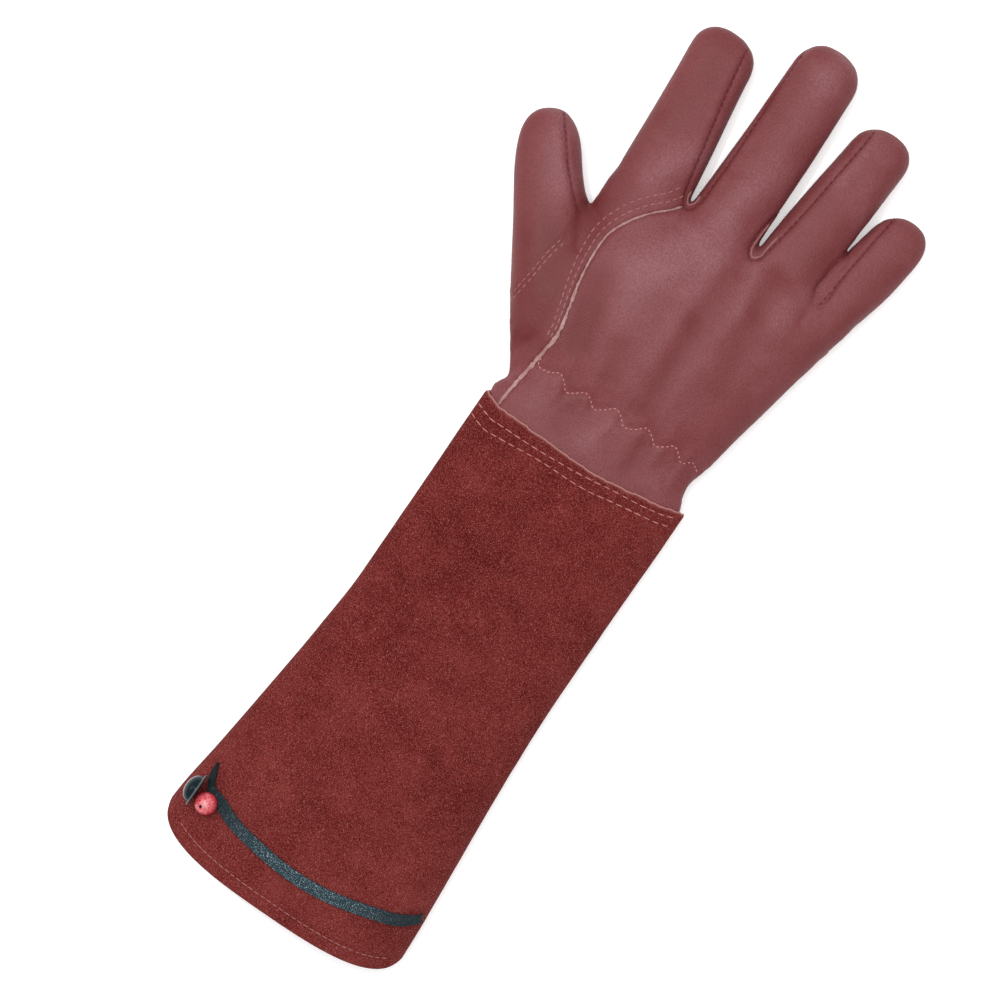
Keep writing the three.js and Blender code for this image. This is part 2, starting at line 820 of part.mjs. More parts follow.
// A piece lowered from above until it sits on what is under it, with the seam's gap.
function setDown(piece, under) {
  const { min, max } = piece.boundingBox();
  const pieceBottom = surfaceOf(piece);
  const underTop = surfaceOf(under);
  const step = 0.5;
  let drop = Infinity;
  for (let x = min[0]; x <= max[0]; x += step) {
    for (let y = min[1]; y <= max[1]; y += step) {
      const bottom = pieceBottom(x, y, false);
      const top = underTop(x, y, true);
      if (bottom !== undefined && top !== undefined) drop = Math.min(drop, bottom - top);
    }
  }
  return piece.translate([0, 0, seamGap + seatSlack - drop]);
}

// The bead lies on the strap's end, with its bore nearly level.
const beadPlace = [-0.406, 1.165];
const beadTurn = { tilt: 55, heading: -35 };

function beadShape() {
  const radius = beadDiameter / 2;
  const start = Math.asin(beadBore / beadDiameter);
  const steps = 8;
  const points = [];
  for (let i = 0; i <= steps; i++) {
    const turn = start + ((Math.PI - 2 * start) * i) / steps;
    points.push(new THREE.Vector2(radius * Math.sin(turn), -radius * Math.cos(turn)));
  }
  points.push(points[0].clone());
  return new THREE.LatheGeometry(points, 14);
}

const beadAt = onCuff(beadPlace);
const bead = setDown(
  solidFrom(
    beadShape()
      .rotateX(THREE.MathUtils.degToRad(90 - beadTurn.tilt))
      .rotateZ(THREE.MathUtils.degToRad(beadTurn.heading))
      .translate(beadAt.x, beadAt.y, aboveAll),
  ),
  cuffWhole.add(strap),
);

// The button stands on its edge beside the bead, its dome towards the thumb's side.
const buttonPlace = [-0.456, 1.255];
const buttonHeading = 1.5;

function buttonShape() {
  const rim = buttonDiameter / 2;
  const chamfer = buttonRim / 4;
  const points = [
    new THREE.Vector2(0, 0),
    new THREE.Vector2(rim - chamfer, 0),
    new THREE.Vector2(rim, chamfer),
    new THREE.Vector2(rim, buttonRim - chamfer),
    new THREE.Vector2(rim - chamfer, buttonRim),
  ];
  const steps = 6;
  for (let i = 0; i < steps; i++) {
    const turn = (Math.PI / 2) * (i / steps);
    const radius = (buttonDomeDiameter / 2) * Math.cos(turn);
    points.push(new THREE.Vector2(radius, buttonRim + buttonDomeHeight * Math.sin(turn)));
  }
  points.push(new THREE.Vector2(0, buttonRim + buttonDomeHeight));
  return new THREE.LatheGeometry(points, 20);
}

const buttonAt = onCuff(buttonPlace);
const button = setDown(
  solidFrom(
    buttonShape()
      .rotateZ(Math.PI / 2)
      .rotateZ(THREE.MathUtils.degToRad(buttonHeading))
      .translate(buttonAt.x, buttonAt.y, aboveAll),
  ),
  cuffWhole.add(strap),
);

// Finished pieces

const grainLeather = (colour) => new THREE.MeshStandardMaterial({ color: colour, roughness: 0.55 });
const napLeather = (colour) => new THREE.MeshStandardMaterial({ color: colour, roughness: 0.95 });

const handLeather = grainLeather(0x86494e);
const cuffLeather = napLeather(0x75292a);
const weltLeather = grainLeather(0xb37f80);
const elastic = new THREE.MeshStandardMaterial({ color: 0x33474a, roughness: 0.9 });
const beadPlastic = new THREE.MeshStandardMaterial({ color: 0xe0525f, roughness: 0.35 });
const buttonPlastic = new THREE.MeshStandardMaterial({ color: 0x14202a, roughness: 0.15 });

const gauntlet = new THREE.Group();

function addPiece(name, solid, material) {
  const mesh = new THREE.Mesh(geometryFrom(solid), material);
  mesh.name = name;
  gauntlet.add(mesh);
}

addPiece("thumb", mainBody(thumbPanel), handLeather);
for (const { name, solid } of fourchettes) addPiece(name, mainBody(solid), handLeather);
addPiece("middle_finger_front", mainBody(middleFront), handLeather);
addPiece("ring_finger_front", mainBody(ringFront), handLeather);
addPiece("hand_back", mainBody(backPanel), handLeather);
addPiece("hand_palm", mainBody(palmPanel), handLeather);
addPiece("back_welt", backWelt, weltLeather);
addPiece("finger_welt", fingerWelt, weltLeather);
addPiece("thumb_welt", thumbWelt, weltLeather);
addPiece("palm_patch", patch, cuffLeather);
addPiece("cuff", cuff, cuffLeather);
addPiece("elastic_strap", strap, elastic);
addPiece("bead", bead, beadPlastic);
addPiece("button", button, buttonPlastic);

export default gauntlet;
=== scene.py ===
import math

import bpy
import numpy as np
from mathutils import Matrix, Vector
from mathutils.bvhtree import BVHTree
from mathutils.kdtree import KDTree


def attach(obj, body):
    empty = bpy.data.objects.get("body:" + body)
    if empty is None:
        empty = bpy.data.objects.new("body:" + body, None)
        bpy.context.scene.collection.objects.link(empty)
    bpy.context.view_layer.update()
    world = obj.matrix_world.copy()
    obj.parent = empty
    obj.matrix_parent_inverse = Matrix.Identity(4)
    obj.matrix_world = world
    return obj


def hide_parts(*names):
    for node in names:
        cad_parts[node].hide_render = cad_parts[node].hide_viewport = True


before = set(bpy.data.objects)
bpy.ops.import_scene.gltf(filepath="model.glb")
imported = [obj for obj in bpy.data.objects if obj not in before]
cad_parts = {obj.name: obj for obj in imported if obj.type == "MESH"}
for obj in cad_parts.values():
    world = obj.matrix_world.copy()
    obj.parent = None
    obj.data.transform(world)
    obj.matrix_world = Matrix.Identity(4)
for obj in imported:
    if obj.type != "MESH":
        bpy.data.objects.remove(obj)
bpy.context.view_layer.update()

# Every size below is in millimetres unless its name says otherwise. Meshes are made in metres.
MM = 0.001

# Leathers and clearances
LEATHER = 1.2
SUEDE = 1.5
PATCH_SUEDE = 1.15
SEAT_GAP = 0.3
TABLE_CLEARANCE = 0.1
HAND_STEP = 0.95

# Camera: straight down on the glove, turned as in the photograph
GLOVE_TURN = math.radians(34.5)
VIEW_CENTRE = (-18.0, -36.8)
VIEW_WIDTH = 410.0
VIEW_PLANE = 12.0
LENS = 100.0
SENSOR = 36.0


def linked_object(name, data):
    made = bpy.data.objects.new(name, data)
    bpy.context.scene.collection.objects.link(made)
    return made


def place_camera():
    lens = bpy.data.cameras.new("view")
    lens.lens = LENS
    lens.sensor_width = SENSOR
    lens.clip_end = 20.0
    camera = linked_object("view", lens)
    height = VIEW_WIDTH * LENS / SENSOR + VIEW_PLANE
    camera.location = (VIEW_CENTRE[0] * MM, VIEW_CENTRE[1] * MM, height * MM)
    camera.rotation_euler = (0.0, 0.0, GLOVE_TURN)
    bpy.context.scene.camera = camera


place_camera()


def at_height(points, height):
    """Plan points read in the camera's view, moved to where they lie at this height."""
    near = 1 - (height - VIEW_PLANE) / (VIEW_WIDTH * LENS / SENSOR)
    x0, y0 = VIEW_CENTRE
    return [(x0 + (x - x0) * near, y0 + (y - y0) * near) for x, y in points]


# Curves, outlines and noise

FINE_STEPS = 40
FAR_OFF = 1e9


def flow(x, xs, ys):
    """A smooth curve through a table's rows, with no overshoot between them."""
    xs, ys = np.asarray(xs, float), np.asarray(ys, float)
    gap, rise = np.diff(xs), np.diff(ys) / np.diff(xs)
    slope = np.zeros_like(ys)
    same = rise[:-1] * rise[1:] > 0
    slope[1:-1][same] = 2 * (rise[:-1] * rise[1:])[same] / (rise[:-1] + rise[1:])[same]
    slope[0], slope[-1] = rise[0], rise[-1]
    k = np.clip(np.searchsorted(xs, x, side="right") - 1, 0, len(xs) - 2)
    t = np.clip((x - xs[k]) / gap[k], 0, 1)
    a = (1 + 2 * t) * (1 - t) ** 2 * ys[k] + t * (1 - t) ** 2 * gap[k] * slope[k]
    return a + t * t * (3 - 2 * t) * ys[k + 1] + t * t * (t - 1) * gap[k] * slope[k + 1]


def read_rows(columns, rows, at):
    """Each column of a table, but the first, read smoothly where the first is `at`."""
    values = np.array(rows, float).T
    return {name: flow(at, values[0], values[i + 1]) for i, name in enumerate(columns[1:])}


def unit(vectors):
    """Rows of vectors, each of length 1."""
    return vectors / np.linalg.norm(vectors, axis=1)[:, None]


def run_along(points):
    """How far along a line each of its points lies."""
    return np.r_[0, np.cumsum(np.linalg.norm(np.diff(points, axis=0), axis=1))]


def smooth_line(points, spacing):
    """Evenly spaced points on a smooth line through a few chosen ones."""
    points = np.array(points, float)
    run = run_along(points)
    line = catmull(points, run, np.linspace(0, run[-1], FINE_STEPS * len(points)))
    length = run_along(line)
    count = max(3, int(round(length[-1] / spacing)) + 1)
    even = np.linspace(0, length[-1], count)
    return np.stack([np.interp(even, length, line[:, i]) for i in range(points.shape[1])], 1)


def catmull(points, run, at):
    tangent = np.gradient(points, run, axis=0)
    k = np.clip(np.searchsorted(run, at, side="right") - 1, 0, len(run) - 2)
    gap = (run[k + 1] - run[k])[:, None]
    t = ((at - run[k]) / (run[k + 1] - run[k]))[:, None]
    start = (1 + 2 * t) * (1 - t) ** 2 * points[k] + t * (1 - t) ** 2 * gap * tangent[k]
    return start + t * t * (3 - 2 * t) * points[k + 1] + t * t * (t - 1) * gap * tangent[k + 1]


def beside(line, by):
    """A plan line moved sideways, to its left where `by` is positive."""
    ahead = unit(np.gradient(line, axis=0))
    return line + by * np.stack([-ahead[:, 1], ahead[:, 0]], 1)


def square_gap(x, y, ax, ay, bx, by):
    """Squared distance from each point to one straight stretch."""
    ex, ey = bx - ax, by - ay
    t = np.clip(((x - ax) * ex + (y - ay) * ey) / max(ex * ex + ey * ey, 1e-12), 0, 1)
    return (x - ax - t * ex) ** 2 + (y - ay - t * ey) ** 2


def inside_distance(x, y, outline):
    """Distance from each point to a closed outline, positive inside it."""
    outline = np.asarray(outline, float)
    nearest = np.full(x.shape, FAR_OFF)
    inside = np.zeros(x.shape, bool)
    for (ax, ay), (bx, by) in zip(outline, np.roll(outline, -1, axis=0)):
        nearest = np.minimum(nearest, square_gap(x, y, ax, ay, bx, by))
        if ay != by:
            crosses = ((ay > y) != (by > y)) & (x < (bx - ax) * (y - ay) / (by - ay) + ax)
            inside ^= crosses
    return np.where(inside, 1, -1) * np.sqrt(nearest)


def near_line(x, y, line):
    """Distance from each point to an open plan line."""
    line = np.asarray(line, float)
    nearest = np.full(np.shape(x), FAR_OFF)
    for (ax, ay), (bx, by) in zip(line[:-1], line[1:]):
        nearest = np.minimum(nearest, square_gap(x, y, ax, ay, bx, by))
    return np.sqrt(nearest)


def bell(distance, width):
    return np.exp(-((distance / width) ** 2))


def step_between(value, low, high):
    t = np.clip((value - low) / (high - low), 0, 1)
    return t * t * (3 - 2 * t)


def soft_noise(points, size, seed):
    """Smooth noise from -1 to 1 with bumps of about `size`."""
    q = np.asarray(points, float) / size
    cell = np.floor(q).astype(np.int64)
    f = q - cell
    f = f * f * (3 - 2 * f)
    total = np.zeros(len(q))
    for corner in range(8):
        d = np.array([corner & 1, corner >> 1 & 1, corner >> 2 & 1])
        c = (cell + d) * np.array([73856093, 19349663, 83492791])
        h = (c[:, 0] ^ c[:, 1] ^ c[:, 2] ^ (seed * 2654435761)) & 0xFFFFFFFF
        h = ((h ^ (h >> 13)) * 1274126177) & 0xFFFFFFFF
        h = (h ^ (h >> 16)) & 0xFFFF
        weight = np.prod(np.where(d, f, 1 - f), axis=1)
        total += weight * (h / 32767.5 - 1)
    return total


def rough_shift(points, size, seed):
    """Noise along each axis."""
    return np.stack([soft_noise(points, size, seed + k) for k in range(3)], 1)


def soft_folds(x, y, folds):
    """Height of long soft folds: rows of start, end, width and depth."""
    height = np.zeros(np.shape(x))
    for ax, ay, bx, by, width, depth in folds:
        height += depth * bell(near_line(x, y, [(ax, ay), (bx, by)]), width)
    return height


# The hand's body. Each digit and the palm is a soft tube through sections at the rows' places.

SECTION = ("along", "left", "right", "low", "edge", "high")

PALM_ROWS = [
    (-24, -46.5, 45.8, 2.1, 6.8, 17.0),
    (-8, -46.5, 45.8, 2.1, 6.8, 17.0),
    (-3, -46.6, 45.8, 2.1, 6.8, 17.0),
    (1, -47.2, 45.6, 2.1, 6.8, 16.9),
    (4, -46.1, 44.6, 2.1, 6.9, 16.9),
    (7, -44.6, 43.3, 2.1, 7.0, 17.0),
    (12, -46.6, 42.7, 2.1, 7.4, 17.6),
    (20, -52.0, 44.8, 2.2, 8.0, 19.2),
    (32, -57.0, 46.9, 2.3, 8.6, 22.0),
    (55, -58.0, 51.4, 2.4, 9.1, 24.0),
    (75, -56.4, 55.2, 2.4, 9.0, 23.4),
    (90, -55.0, 57.8, 2.2, 8.6, 21.6),
    (104, -55.0, 60.4, 1.9, 8.0, 18.6),
]
INDEX_ROWS = [
    (84, -54.2, -21.5, 2.0, 7.6, 17.6),
    (98, -55.0, -22.2, 1.9, 7.4, 17.5),
    (110, -56.2, -23.6, 1.2, 7.1, 17.4),
    (130, -57.4, -26.4, -0.4, 6.8, 16.8),
    (150, -58.8, -29.5, -0.4, 6.8, 16.0),
    (165, -60.0, -31.6, -0.4, 6.8, 15.3),
    (178, -60.6, -33.2, -0.4, 6.8, 14.6),
]
MIDDLE_ROWS = [
    (88, -22.2, 10.6, 2.0, 7.6, 17.8),
    (102, -22.0, 10.2, 1.8, 7.3, 17.8),
    (112, -21.8, 10.0, 1.0, 7.1, 17.8),
    (130, -21.3, 9.5, -0.4, 6.8, 17.0),
    (150, -20.8, 9.2, -0.4, 6.8, 16.2),
    (170, -20.6, 8.5, -0.4, 6.8, 15.4),
    (196, -20.4, 7.6, -0.4, 6.8, 14.6),
]
RING_ROWS = [
    (88, 11.2, 41.2, 2.0, 7.6, 17.6),
    (102, 11.3, 41.1, 1.8, 7.3, 17.5),
    (112, 11.6, 41.0, 1.0, 7.1, 17.4),
    (130, 13.1, 41.4, -0.4, 6.8, 16.8),
    (147, 15.0, 42.3, -0.4, 6.8, 16.0),
    (165, 17.3, 43.2, -0.4, 6.8, 15.3),
    (180, 18.4, 43.9, -0.4, 6.8, 14.6),
]
LITTLE_ROWS = [
    (84, 40.4, 54.7, 2.0, 7.6, 16.0),
    (93, 40.8, 58.0, 1.9, 7.4, 16.2),
    (102, 41.3, 61.0, 1.6, 7.2, 16.4),
    (112, 41.6, 64.0, 0.8, 7.0, 16.2),
    (126, 42.1, 67.0, -0.4, 6.8, 15.6),
    (140, 44.7, 68.6, -0.4, 6.8, 15.0),
    (156, 47.4, 69.2, -0.4, 6.8, 14.2),
]
# The skin that joins the ring and little fingers
WEB_ROWS = [
    (96, 37.0, 46.6, 2.5, 7.5, 13.6),
    (112, 38.0, 46.0, 2.5, 7.5, 13.0),
    (126, 39.4, 44.8, 2.5, 7.0, 11.4),
]
# Measured along and across the thumb, from its root
THUMB_ROWS = [
    (-6, -10.0, 10.0, 3.6, 8.4, 14.5),
    (8, -15.0, 15.6, 0.6, 8.4, 17.6),
    (20, -15.7, 17.6, -0.2, 8.4, 19.4),
    (34, -15.0, 18.6, -0.4, 8.4, 20.0),
    (53, -13.9, 17.1, -0.4, 8.4, 19.4),
    (70, -13.3, 14.9, -0.4, 8.4, 18.0),
    (84, -11.9, 14.6, -0.4, 8.2, 17.0),
    (98, -11.5, 14.6, -0.4, 8.0, 16.4),
]
THUMB_ROOT = (-38.3, 28.6)
THUMB_LEAN = math.radians(35.5)

# Where each tube is straight, and how long its rounded end is: start, end, start's cap, end's cap
PALM_RUN = (-60, 97, 10, 10)
INDEX_RUN = (92, 163.5, 12, 12.6)
MIDDLE_RUN = (98, 180, 12, 14.2)
RING_RUN = (98, 165.5, 12, 13.0)
LITTLE_RUN = (86, 140.5, 12, 12.8)
WEB_RUN = (98, 121, 8, 5.5)
THUMB_RUN = (8, 75.5, 10, 20.6)

# Broad soft folds of the back, shown in the relief and as painted light and shade in the colour:
# start, end, width and strength, ridges above nought and hollows below
BACK_FOLDS = [
    (-36, 60, -28, 32, 6.5, -0.9),
    (-30, 48, -27, 34, 5.0, -0.4),
    (-26, 72, -6, 96, 12.0, 0.75),
    (-20, 52, -18, 84, 8.0, 0.45),
    (-13, 42, -9, 30, 4.5, -0.6),
    (0, 46, -1, 92, 5.0, 0.35),
    (-8, 98, -6, 124, 7.0, 0.65),
    (10, 26, 7, 66, 4.5, -0.8),
    (7, 66, 7, 106, 4.5, -0.5),
    (14, 104, 19, 82, 4.5, 0.55),
    (19, 82, 16, 40, 4.0, 0.3),
    (24, 104, 25, 84, 4.5, -0.55),
    (25, 84, 31, 50, 5.5, -0.55),
    (34, 88, 36, 102, 6.0, 0.5),
    (30, 34, 36, 66, 6.0, 0.2),
    (46, 34, 59, 98, 7.0, -0.4),
    (-2, 2, 2, 14, 5.0, 0.6),
    (-15, 2, -16, 14, 4.0, -0.5),
    (-30, 4, -27, 13, 5.5, 0.35),
    (18, 3, 16, 14, 4.0, -0.4),
    (30, 4, 31, 14, 4.0, 0.35),
    (39, 5, 38, 15, 3.0, -0.4),
    (-86, 104, -63, 74, 6.5, 0.85),
    (-96, 97, -73, 56, 6.0, -0.4),
    (-62, 68, -52, 24, 11.0, -1.0),
    (-56, 82, -50, 74, 7.0, -0.6),
    (-50, 64, -47, 34, 5.0, -0.5),
    (-52, 98, -50, 82, 6.0, -0.4),
    (-42, 106, -34, 124, 6.0, 0.6),
    (-48, 135, -48, 168, 8.0, -0.45),
    (-56, 108, -57, 130, 4.0, -0.45),
    (-15, 130, -15, 176, 4.0, -0.25),
    (-3, 130, -4, 190, 6.0, 0.35),
    (-6, 184, -4, 192, 9.0, 0.5),
    (23, 150, 25, 172, 3.5, 0.5),
    (35, 112, 34, 132, 6.0, -0.3),
    (60, 108, 64, 140, 7.0, -0.25),
]
# How round a tube's section is, 2 being an ellipse, and the farthest distance that is told
TUBE_ROUNDNESS = 2.35
FARTHEST = 14
# How far two tubes blend where they meet: beside each other, to the palm, the thumb, the table
FINGER_BLENDS = [
    (MIDDLE_ROWS, MIDDLE_RUN, 0.9),
    (RING_ROWS, RING_RUN, 0.9),
    (LITTLE_ROWS, LITTLE_RUN, 1.4),
    (WEB_ROWS, WEB_RUN, 2.0),
]
PALM_BLEND, THUMB_BLEND, TABLE_BLEND = 5.0, 4.5, 1.2
# The folds show from here upwards, in full at the second height
FOLDS_FROM, FOLDS_FULL = 8, 15
SKIN_LOW, SKIN_HIGH = (-104.0, -18.0, -2.5), (75.0, 199.0, 29.0)
# A corner this near a cut is put on it
SNAP = 0.09


def tube_distance(side, along, z, rows, run):
    """Roughly the distance to a soft tube's skin, negative inside it."""
    start, end, start_cap, end_cap = run
    s = read_rows(SECTION, rows, np.clip(along, rows[0][0], rows[-1][0]))
    half = (s["right"] - s["left"]) / 2
    u = np.abs(side - (s["left"] + s["right"]) / 2) / half
    rise = np.where(z > s["edge"], s["high"] - s["edge"], s["edge"] - s["low"])
    w = np.abs(z - s["edge"]) / rise
    cap = np.where(along > end, end_cap, start_cap)
    q = np.maximum(np.maximum(along - end, start - along), 0) / cap
    n = TUBE_ROUNDNESS
    r = np.maximum((u**n + w**n + q**n) ** (1 / n), 1e-3)
    steep = np.sqrt(
        (u ** (n - 1) / half) ** 2 + (w ** (n - 1) / rise) ** 2 + (q ** (n - 1) / cap) ** 2
    )
    return np.clip((r - 1) * r ** (n - 1) / np.maximum(steep, 1e-3), -FARTHEST, FARTHEST)


def soft_join(a, b, blend):
    overlap = np.maximum(blend - np.abs(a - b), 0) / blend
    return np.minimum(a, b) - overlap * overlap * blend / 4


def plan_folds(x, y):
    """The back's folds, worked out once in plan where a grid repeats it at every height."""
    if np.ndim(x) == 3:
        return soft_folds(x[:, :, :1], y[:, :, :1], BACK_FOLDS)
    return soft_folds(x, y, BACK_FOLDS)


def thumb_axes(x, y):
    ahead = (-math.sin(THUMB_LEAN), math.cos(THUMB_LEAN))
    dx, dy = x - THUMB_ROOT[0], y - THUMB_ROOT[1]
    return dx * ahead[0] + dy * ahead[1], dx * ahead[1] - dy * ahead[0]


def hand_distance(x, y, z):
    """Roughly the distance to the hand's skin: the palm, the digits, the folds and the table."""
    lift = plan_folds(x, y) * step_between(z, FOLDS_FROM, FOLDS_FULL)
    z = z - lift
    palm = tube_distance(x, y, z, PALM_ROWS, PALM_RUN)
    fingers = tube_distance(x, y, z, INDEX_ROWS, INDEX_RUN)
    for rows, run, blend in FINGER_BLENDS:
        fingers = soft_join(fingers, tube_distance(x, y, z, rows, run), blend)
    along, side = thumb_axes(x, y)
    thumb = tube_distance(side, along, z, THUMB_ROWS, THUMB_RUN)
    hand = soft_join(soft_join(palm, fingers, PALM_BLEND), thumb, THUMB_BLEND)
    return -soft_join(-hand, z + lift, TABLE_BLEND)


def skin_net(values, origin, step):
    """The surface where a grid of values changes sign, as points and four-cornered faces."""
    inside = values < 0
    size = np.array(values.shape) - 1
    corners = [(i, j, k) for i in (0, 1) for j in (0, 1) for k in (0, 1)]
    cut = [slice(None, -1), slice(1, None)]
    count = sum(inside[cut[i], cut[j], cut[k]].astype(int) for i, j, k in corners)
    cells = np.argwhere((count > 0) & (count < 8))
    number = -np.ones(size, int)
    number[tuple(cells.T)] = np.arange(len(cells))
    at = {c: values[tuple((cells + c).T)] for c in corners}
    total, crossings = np.zeros((len(cells), 3)), np.zeros(len(cells))
    for a in corners:
        for axis in range(3):
            if a[axis]:
                continue
            b = tuple(v + (i == axis) for i, v in enumerate(a))
            crosses = (at[a] < 0) != (at[b] < 0)
            t = np.where(crosses, at[a] / np.where(crosses, at[a] - at[b], 1), 0)
            spot = np.array(a, float)[None, :] + t[:, None] * np.eye(3)[axis]
            total += np.where(crosses[:, None], spot, 0)
            crossings += crosses
    points = origin + step * (cells + total / crossings[:, None])
    faces = []
    for axis in range(3):
        e, g = (axis + 1) % 3, (axis + 2) % 3
        low, high = [slice(None)] * 3, [slice(None)] * 3
        low[axis], high[axis] = slice(None, -1), slice(1, None)
        change = inside[tuple(low)] != inside[tuple(high)]
        spots = np.argwhere(change)
        fits = (spots[:, e] > 0) & (spots[:, g] > 0)
        fits &= (spots[:, e] < size[e]) & (spots[:, g] < size[g])
        spots = spots[fits]
        around = []
        for de, dg in ((-1, -1), (0, -1), (0, 0), (-1, 0)):
            shifted = spots.copy()
            shifted[:, e] += de
            shifted[:, g] += dg
            around.append(number[tuple(shifted.T)])
        quad = np.stack(around, 1)
        outward = inside[tuple(spots.T)]
        faces.append(np.where(outward[:, None], quad, quad[:, ::-1]))
    return points, np.concatenate(faces)


def halves(points, quads):
    """Triangles, each four-cornered face being split along its shorter diagonal."""
    a, b, c, d = (points[quads[:, i]] for i in range(4))
    first = np.linalg.norm(a - c, axis=1) <= np.linalg.norm(b - d, axis=1)
    one = np.where(first[:, None], quads[:, [0, 1, 2]], quads[:, [0, 1, 3]])
    two = np.where(first[:, None], quads[:, [0, 2, 3]], quads[:, [1, 2, 3]])
    return np.concatenate([one, two])


def read_grid(grid, spots):
    """Values between a grid's points, at fractional places."""
    base = np.clip(np.floor(spots).astype(int), 0, np.array(grid.shape[:3]) - 2)
    f = spots - base
    total = 0
    for corner in range(8):
        d = np.array([corner & 1, corner >> 1 & 1, corner >> 2 & 1])
        weight = np.prod(np.where(d, f, 1 - f), axis=1)
        value = grid[tuple((base + d).T)]
        total = total + (weight[:, None] * value if value.ndim > 1 else weight * value)
    return total


def make_skin():
    """The hand's skin as points and triangles, drawn onto the surface in a few rounds."""
    low, high = np.array(SKIN_LOW), np.array(SKIN_HIGH)
    axes = [np.arange(low[i], high[i] + HAND_STEP, HAND_STEP) for i in range(3)]
    x, y, z = np.broadcast_arrays(*np.meshgrid(*axes, indexing="ij", sparse=True))
    values = hand_distance(x, y, z)
    slope = np.stack(np.gradient(values, HAND_STEP), -1)
    points, quads = skin_net(values, low, HAND_STEP)
    for _ in range(3):
        spots = (points - low) / HAND_STEP
        g = read_grid(slope, spots)
        f = read_grid(values, spots)
        points = points - g * (f / np.maximum((g * g).sum(1), 0.05))[:, None]
    points[:, 2] = np.maximum(points[:, 2], 0)
    return points, halves(points, quads)


def face_areas(points, faces):
    a, b, c = (points[faces[:, i]] for i in range(3))
    return np.cross(b - a, c - a)


def outward_normals(points, faces):
    each = face_areas(points, faces)
    normals = np.zeros_like(points)
    for i in range(3):
        np.add.at(normals, faces[:, i], each)
    return normals / np.maximum(np.linalg.norm(normals, axis=1), 1e-12)[:, None]


def cut_along(points, faces, marks, values):
    """Splits the triangles that a line crosses, where values change sign. Marks are kept."""
    values = np.where(np.abs(values) < SNAP, 0, values)
    side = np.sign(values)[faces]
    crossed = (side.max(1) > 0) & (side.min(1) < 0)
    whole, cut, cut_side = faces[~crossed], faces[crossed], side[crossed]
    cut_marks = marks[crossed]
    middle = (cut_side == 0).any(1)
    lone = np.where(middle, np.argmax(cut_side == 0, 1), 0)
    odd = np.sign(cut_side.sum(1))
    lone = np.where(middle, lone, np.argmax(cut_side == -odd[:, None], 1))
    rows = np.arange(len(cut))[:, None]
    turned = cut[rows, (lone[:, None] + np.arange(3)) % 3]

    def crossing(a, b):
        pair = np.sort(np.stack([a, b], 1), 1)
        t = values[pair[:, 0]] / (values[pair[:, 0]] - values[pair[:, 1]])
        return pair, points[pair[:, 0]] * (1 - t)[:, None] + points[pair[:, 1]] * t[:, None]

    a, b, c = turned.T
    m, o = middle, ~middle
    pairs, spots = zip(crossing(b[m], c[m]), crossing(a[o], b[o]), crossing(a[o], c[o]))
    unique, first, back = np.unique(
        np.concatenate(pairs), axis=0, return_index=True, return_inverse=True
    )
    new = len(points) + back.reshape(-1)
    points = np.concatenate([points, np.concatenate(spots)[first]])
    n_m, n_o = m.sum(), o.sum()
    across, p, q = new[:n_m], new[n_m : n_m + n_o], new[n_m + n_o :]
    pieces = [
        np.stack([a[m], b[m], across], 1),
        np.stack([a[m], across, c[m]], 1),
        np.stack([a[o], p, q], 1),
        np.stack([p, b[o], c[o]], 1),
        np.stack([p, c[o], q], 1),
    ]
    kept = [cut_marks[m], cut_marks[m], cut_marks[o], cut_marks[o], cut_marks[o]]
    faces = np.concatenate([whole] + pieces)
    marks = np.concatenate([marks[~crossed]] + kept)
    values = np.concatenate([values, np.zeros(len(unique))])
    return points, faces, marks, values


# Seam lines, in plan

SIDE_SEAM = 8.2
FINGER_MIDDLE = 6.9

BACK_SEAM = [
    (-41, -18), (-41, -5), (-39.5, 10), (-38, 22), (-37, 32), (-39, 42), (-42, 55),
    (-43.5, 68), (-43, 78), (-39, 87), (-33, 95), (-27, 101), (-24.2, 105.5),
]
CLEFT_ONE_BACK = [
    (-40.5, 182), (-39, 172), (-36, 155), (-31, 130), (-28, 115), (-26.3, 108.5), (-24.2, 105.5),
    (-21.4, 105), (-19.6, 109), (-19.0, 120), (-19.0, 150), (-19.2, 183), (-17, 199),
]
CLEFT_TWO_BACK = [
    (6, 199), (11, 190), (12, 170), (12, 145), (9.6, 126), (7.4, 112), (8.2, 104.6), (10.6, 102.4),
    (13.4, 103.8), (14.8, 110), (18, 130), (21, 155), (23, 174), (23.5, 186),
]
CLEFT_THREE_BACK = [
    (40, 190), (45, 178), (45.6, 150), (43, 132), (40.2, 116), (40, 106), (42.4, 101.8), (44.6, 103.4),
    (45.8, 115), (48, 135), (50, 150), (51.5, 160),
]
CLEFT_ONE_PALM = [
    (-36, 186), (-34.8, 168), (-31.6, 145), (-28, 120), (-26, 108), (-23.2, 104.4),
    (-20.4, 108), (-19.4, 120), (-18.6, 150), (-18.2, 180), (-17, 199),
]
CLEFT_TWO_PALM = [
    (4, 199), (5.4, 175), (6.2, 150), (7.2, 122), (8.0, 108), (10.8, 103.4), (13.4, 108),
    (15, 122), (17.4, 147), (19.6, 168), (21, 186),
]
CLEFT_THREE_PALM = [
    (41.4, 186), (40, 165), (39.4, 145), (39, 122), (39.6, 108), (41.8, 102.6), (43.8, 108),
    (44.6, 122), (46.6, 140), (49.5, 152), (51.5, 160),
]
FRONT_SEAM = [
    (-23.2, 104.4), (-18, 103), (-5, 104.6), (2, 105), (10.8, 103), (20, 101), (30, 101),
    (41.8, 102.6),
]
THUMB_BACK_SEAM = [
    (-56.4, 84.5), (-56.2, 76), (-56.6, 66), (-58.4, 57), (-59.4, 48), (-60.4, 40), (-62, 31),
    (-65, 22),
]
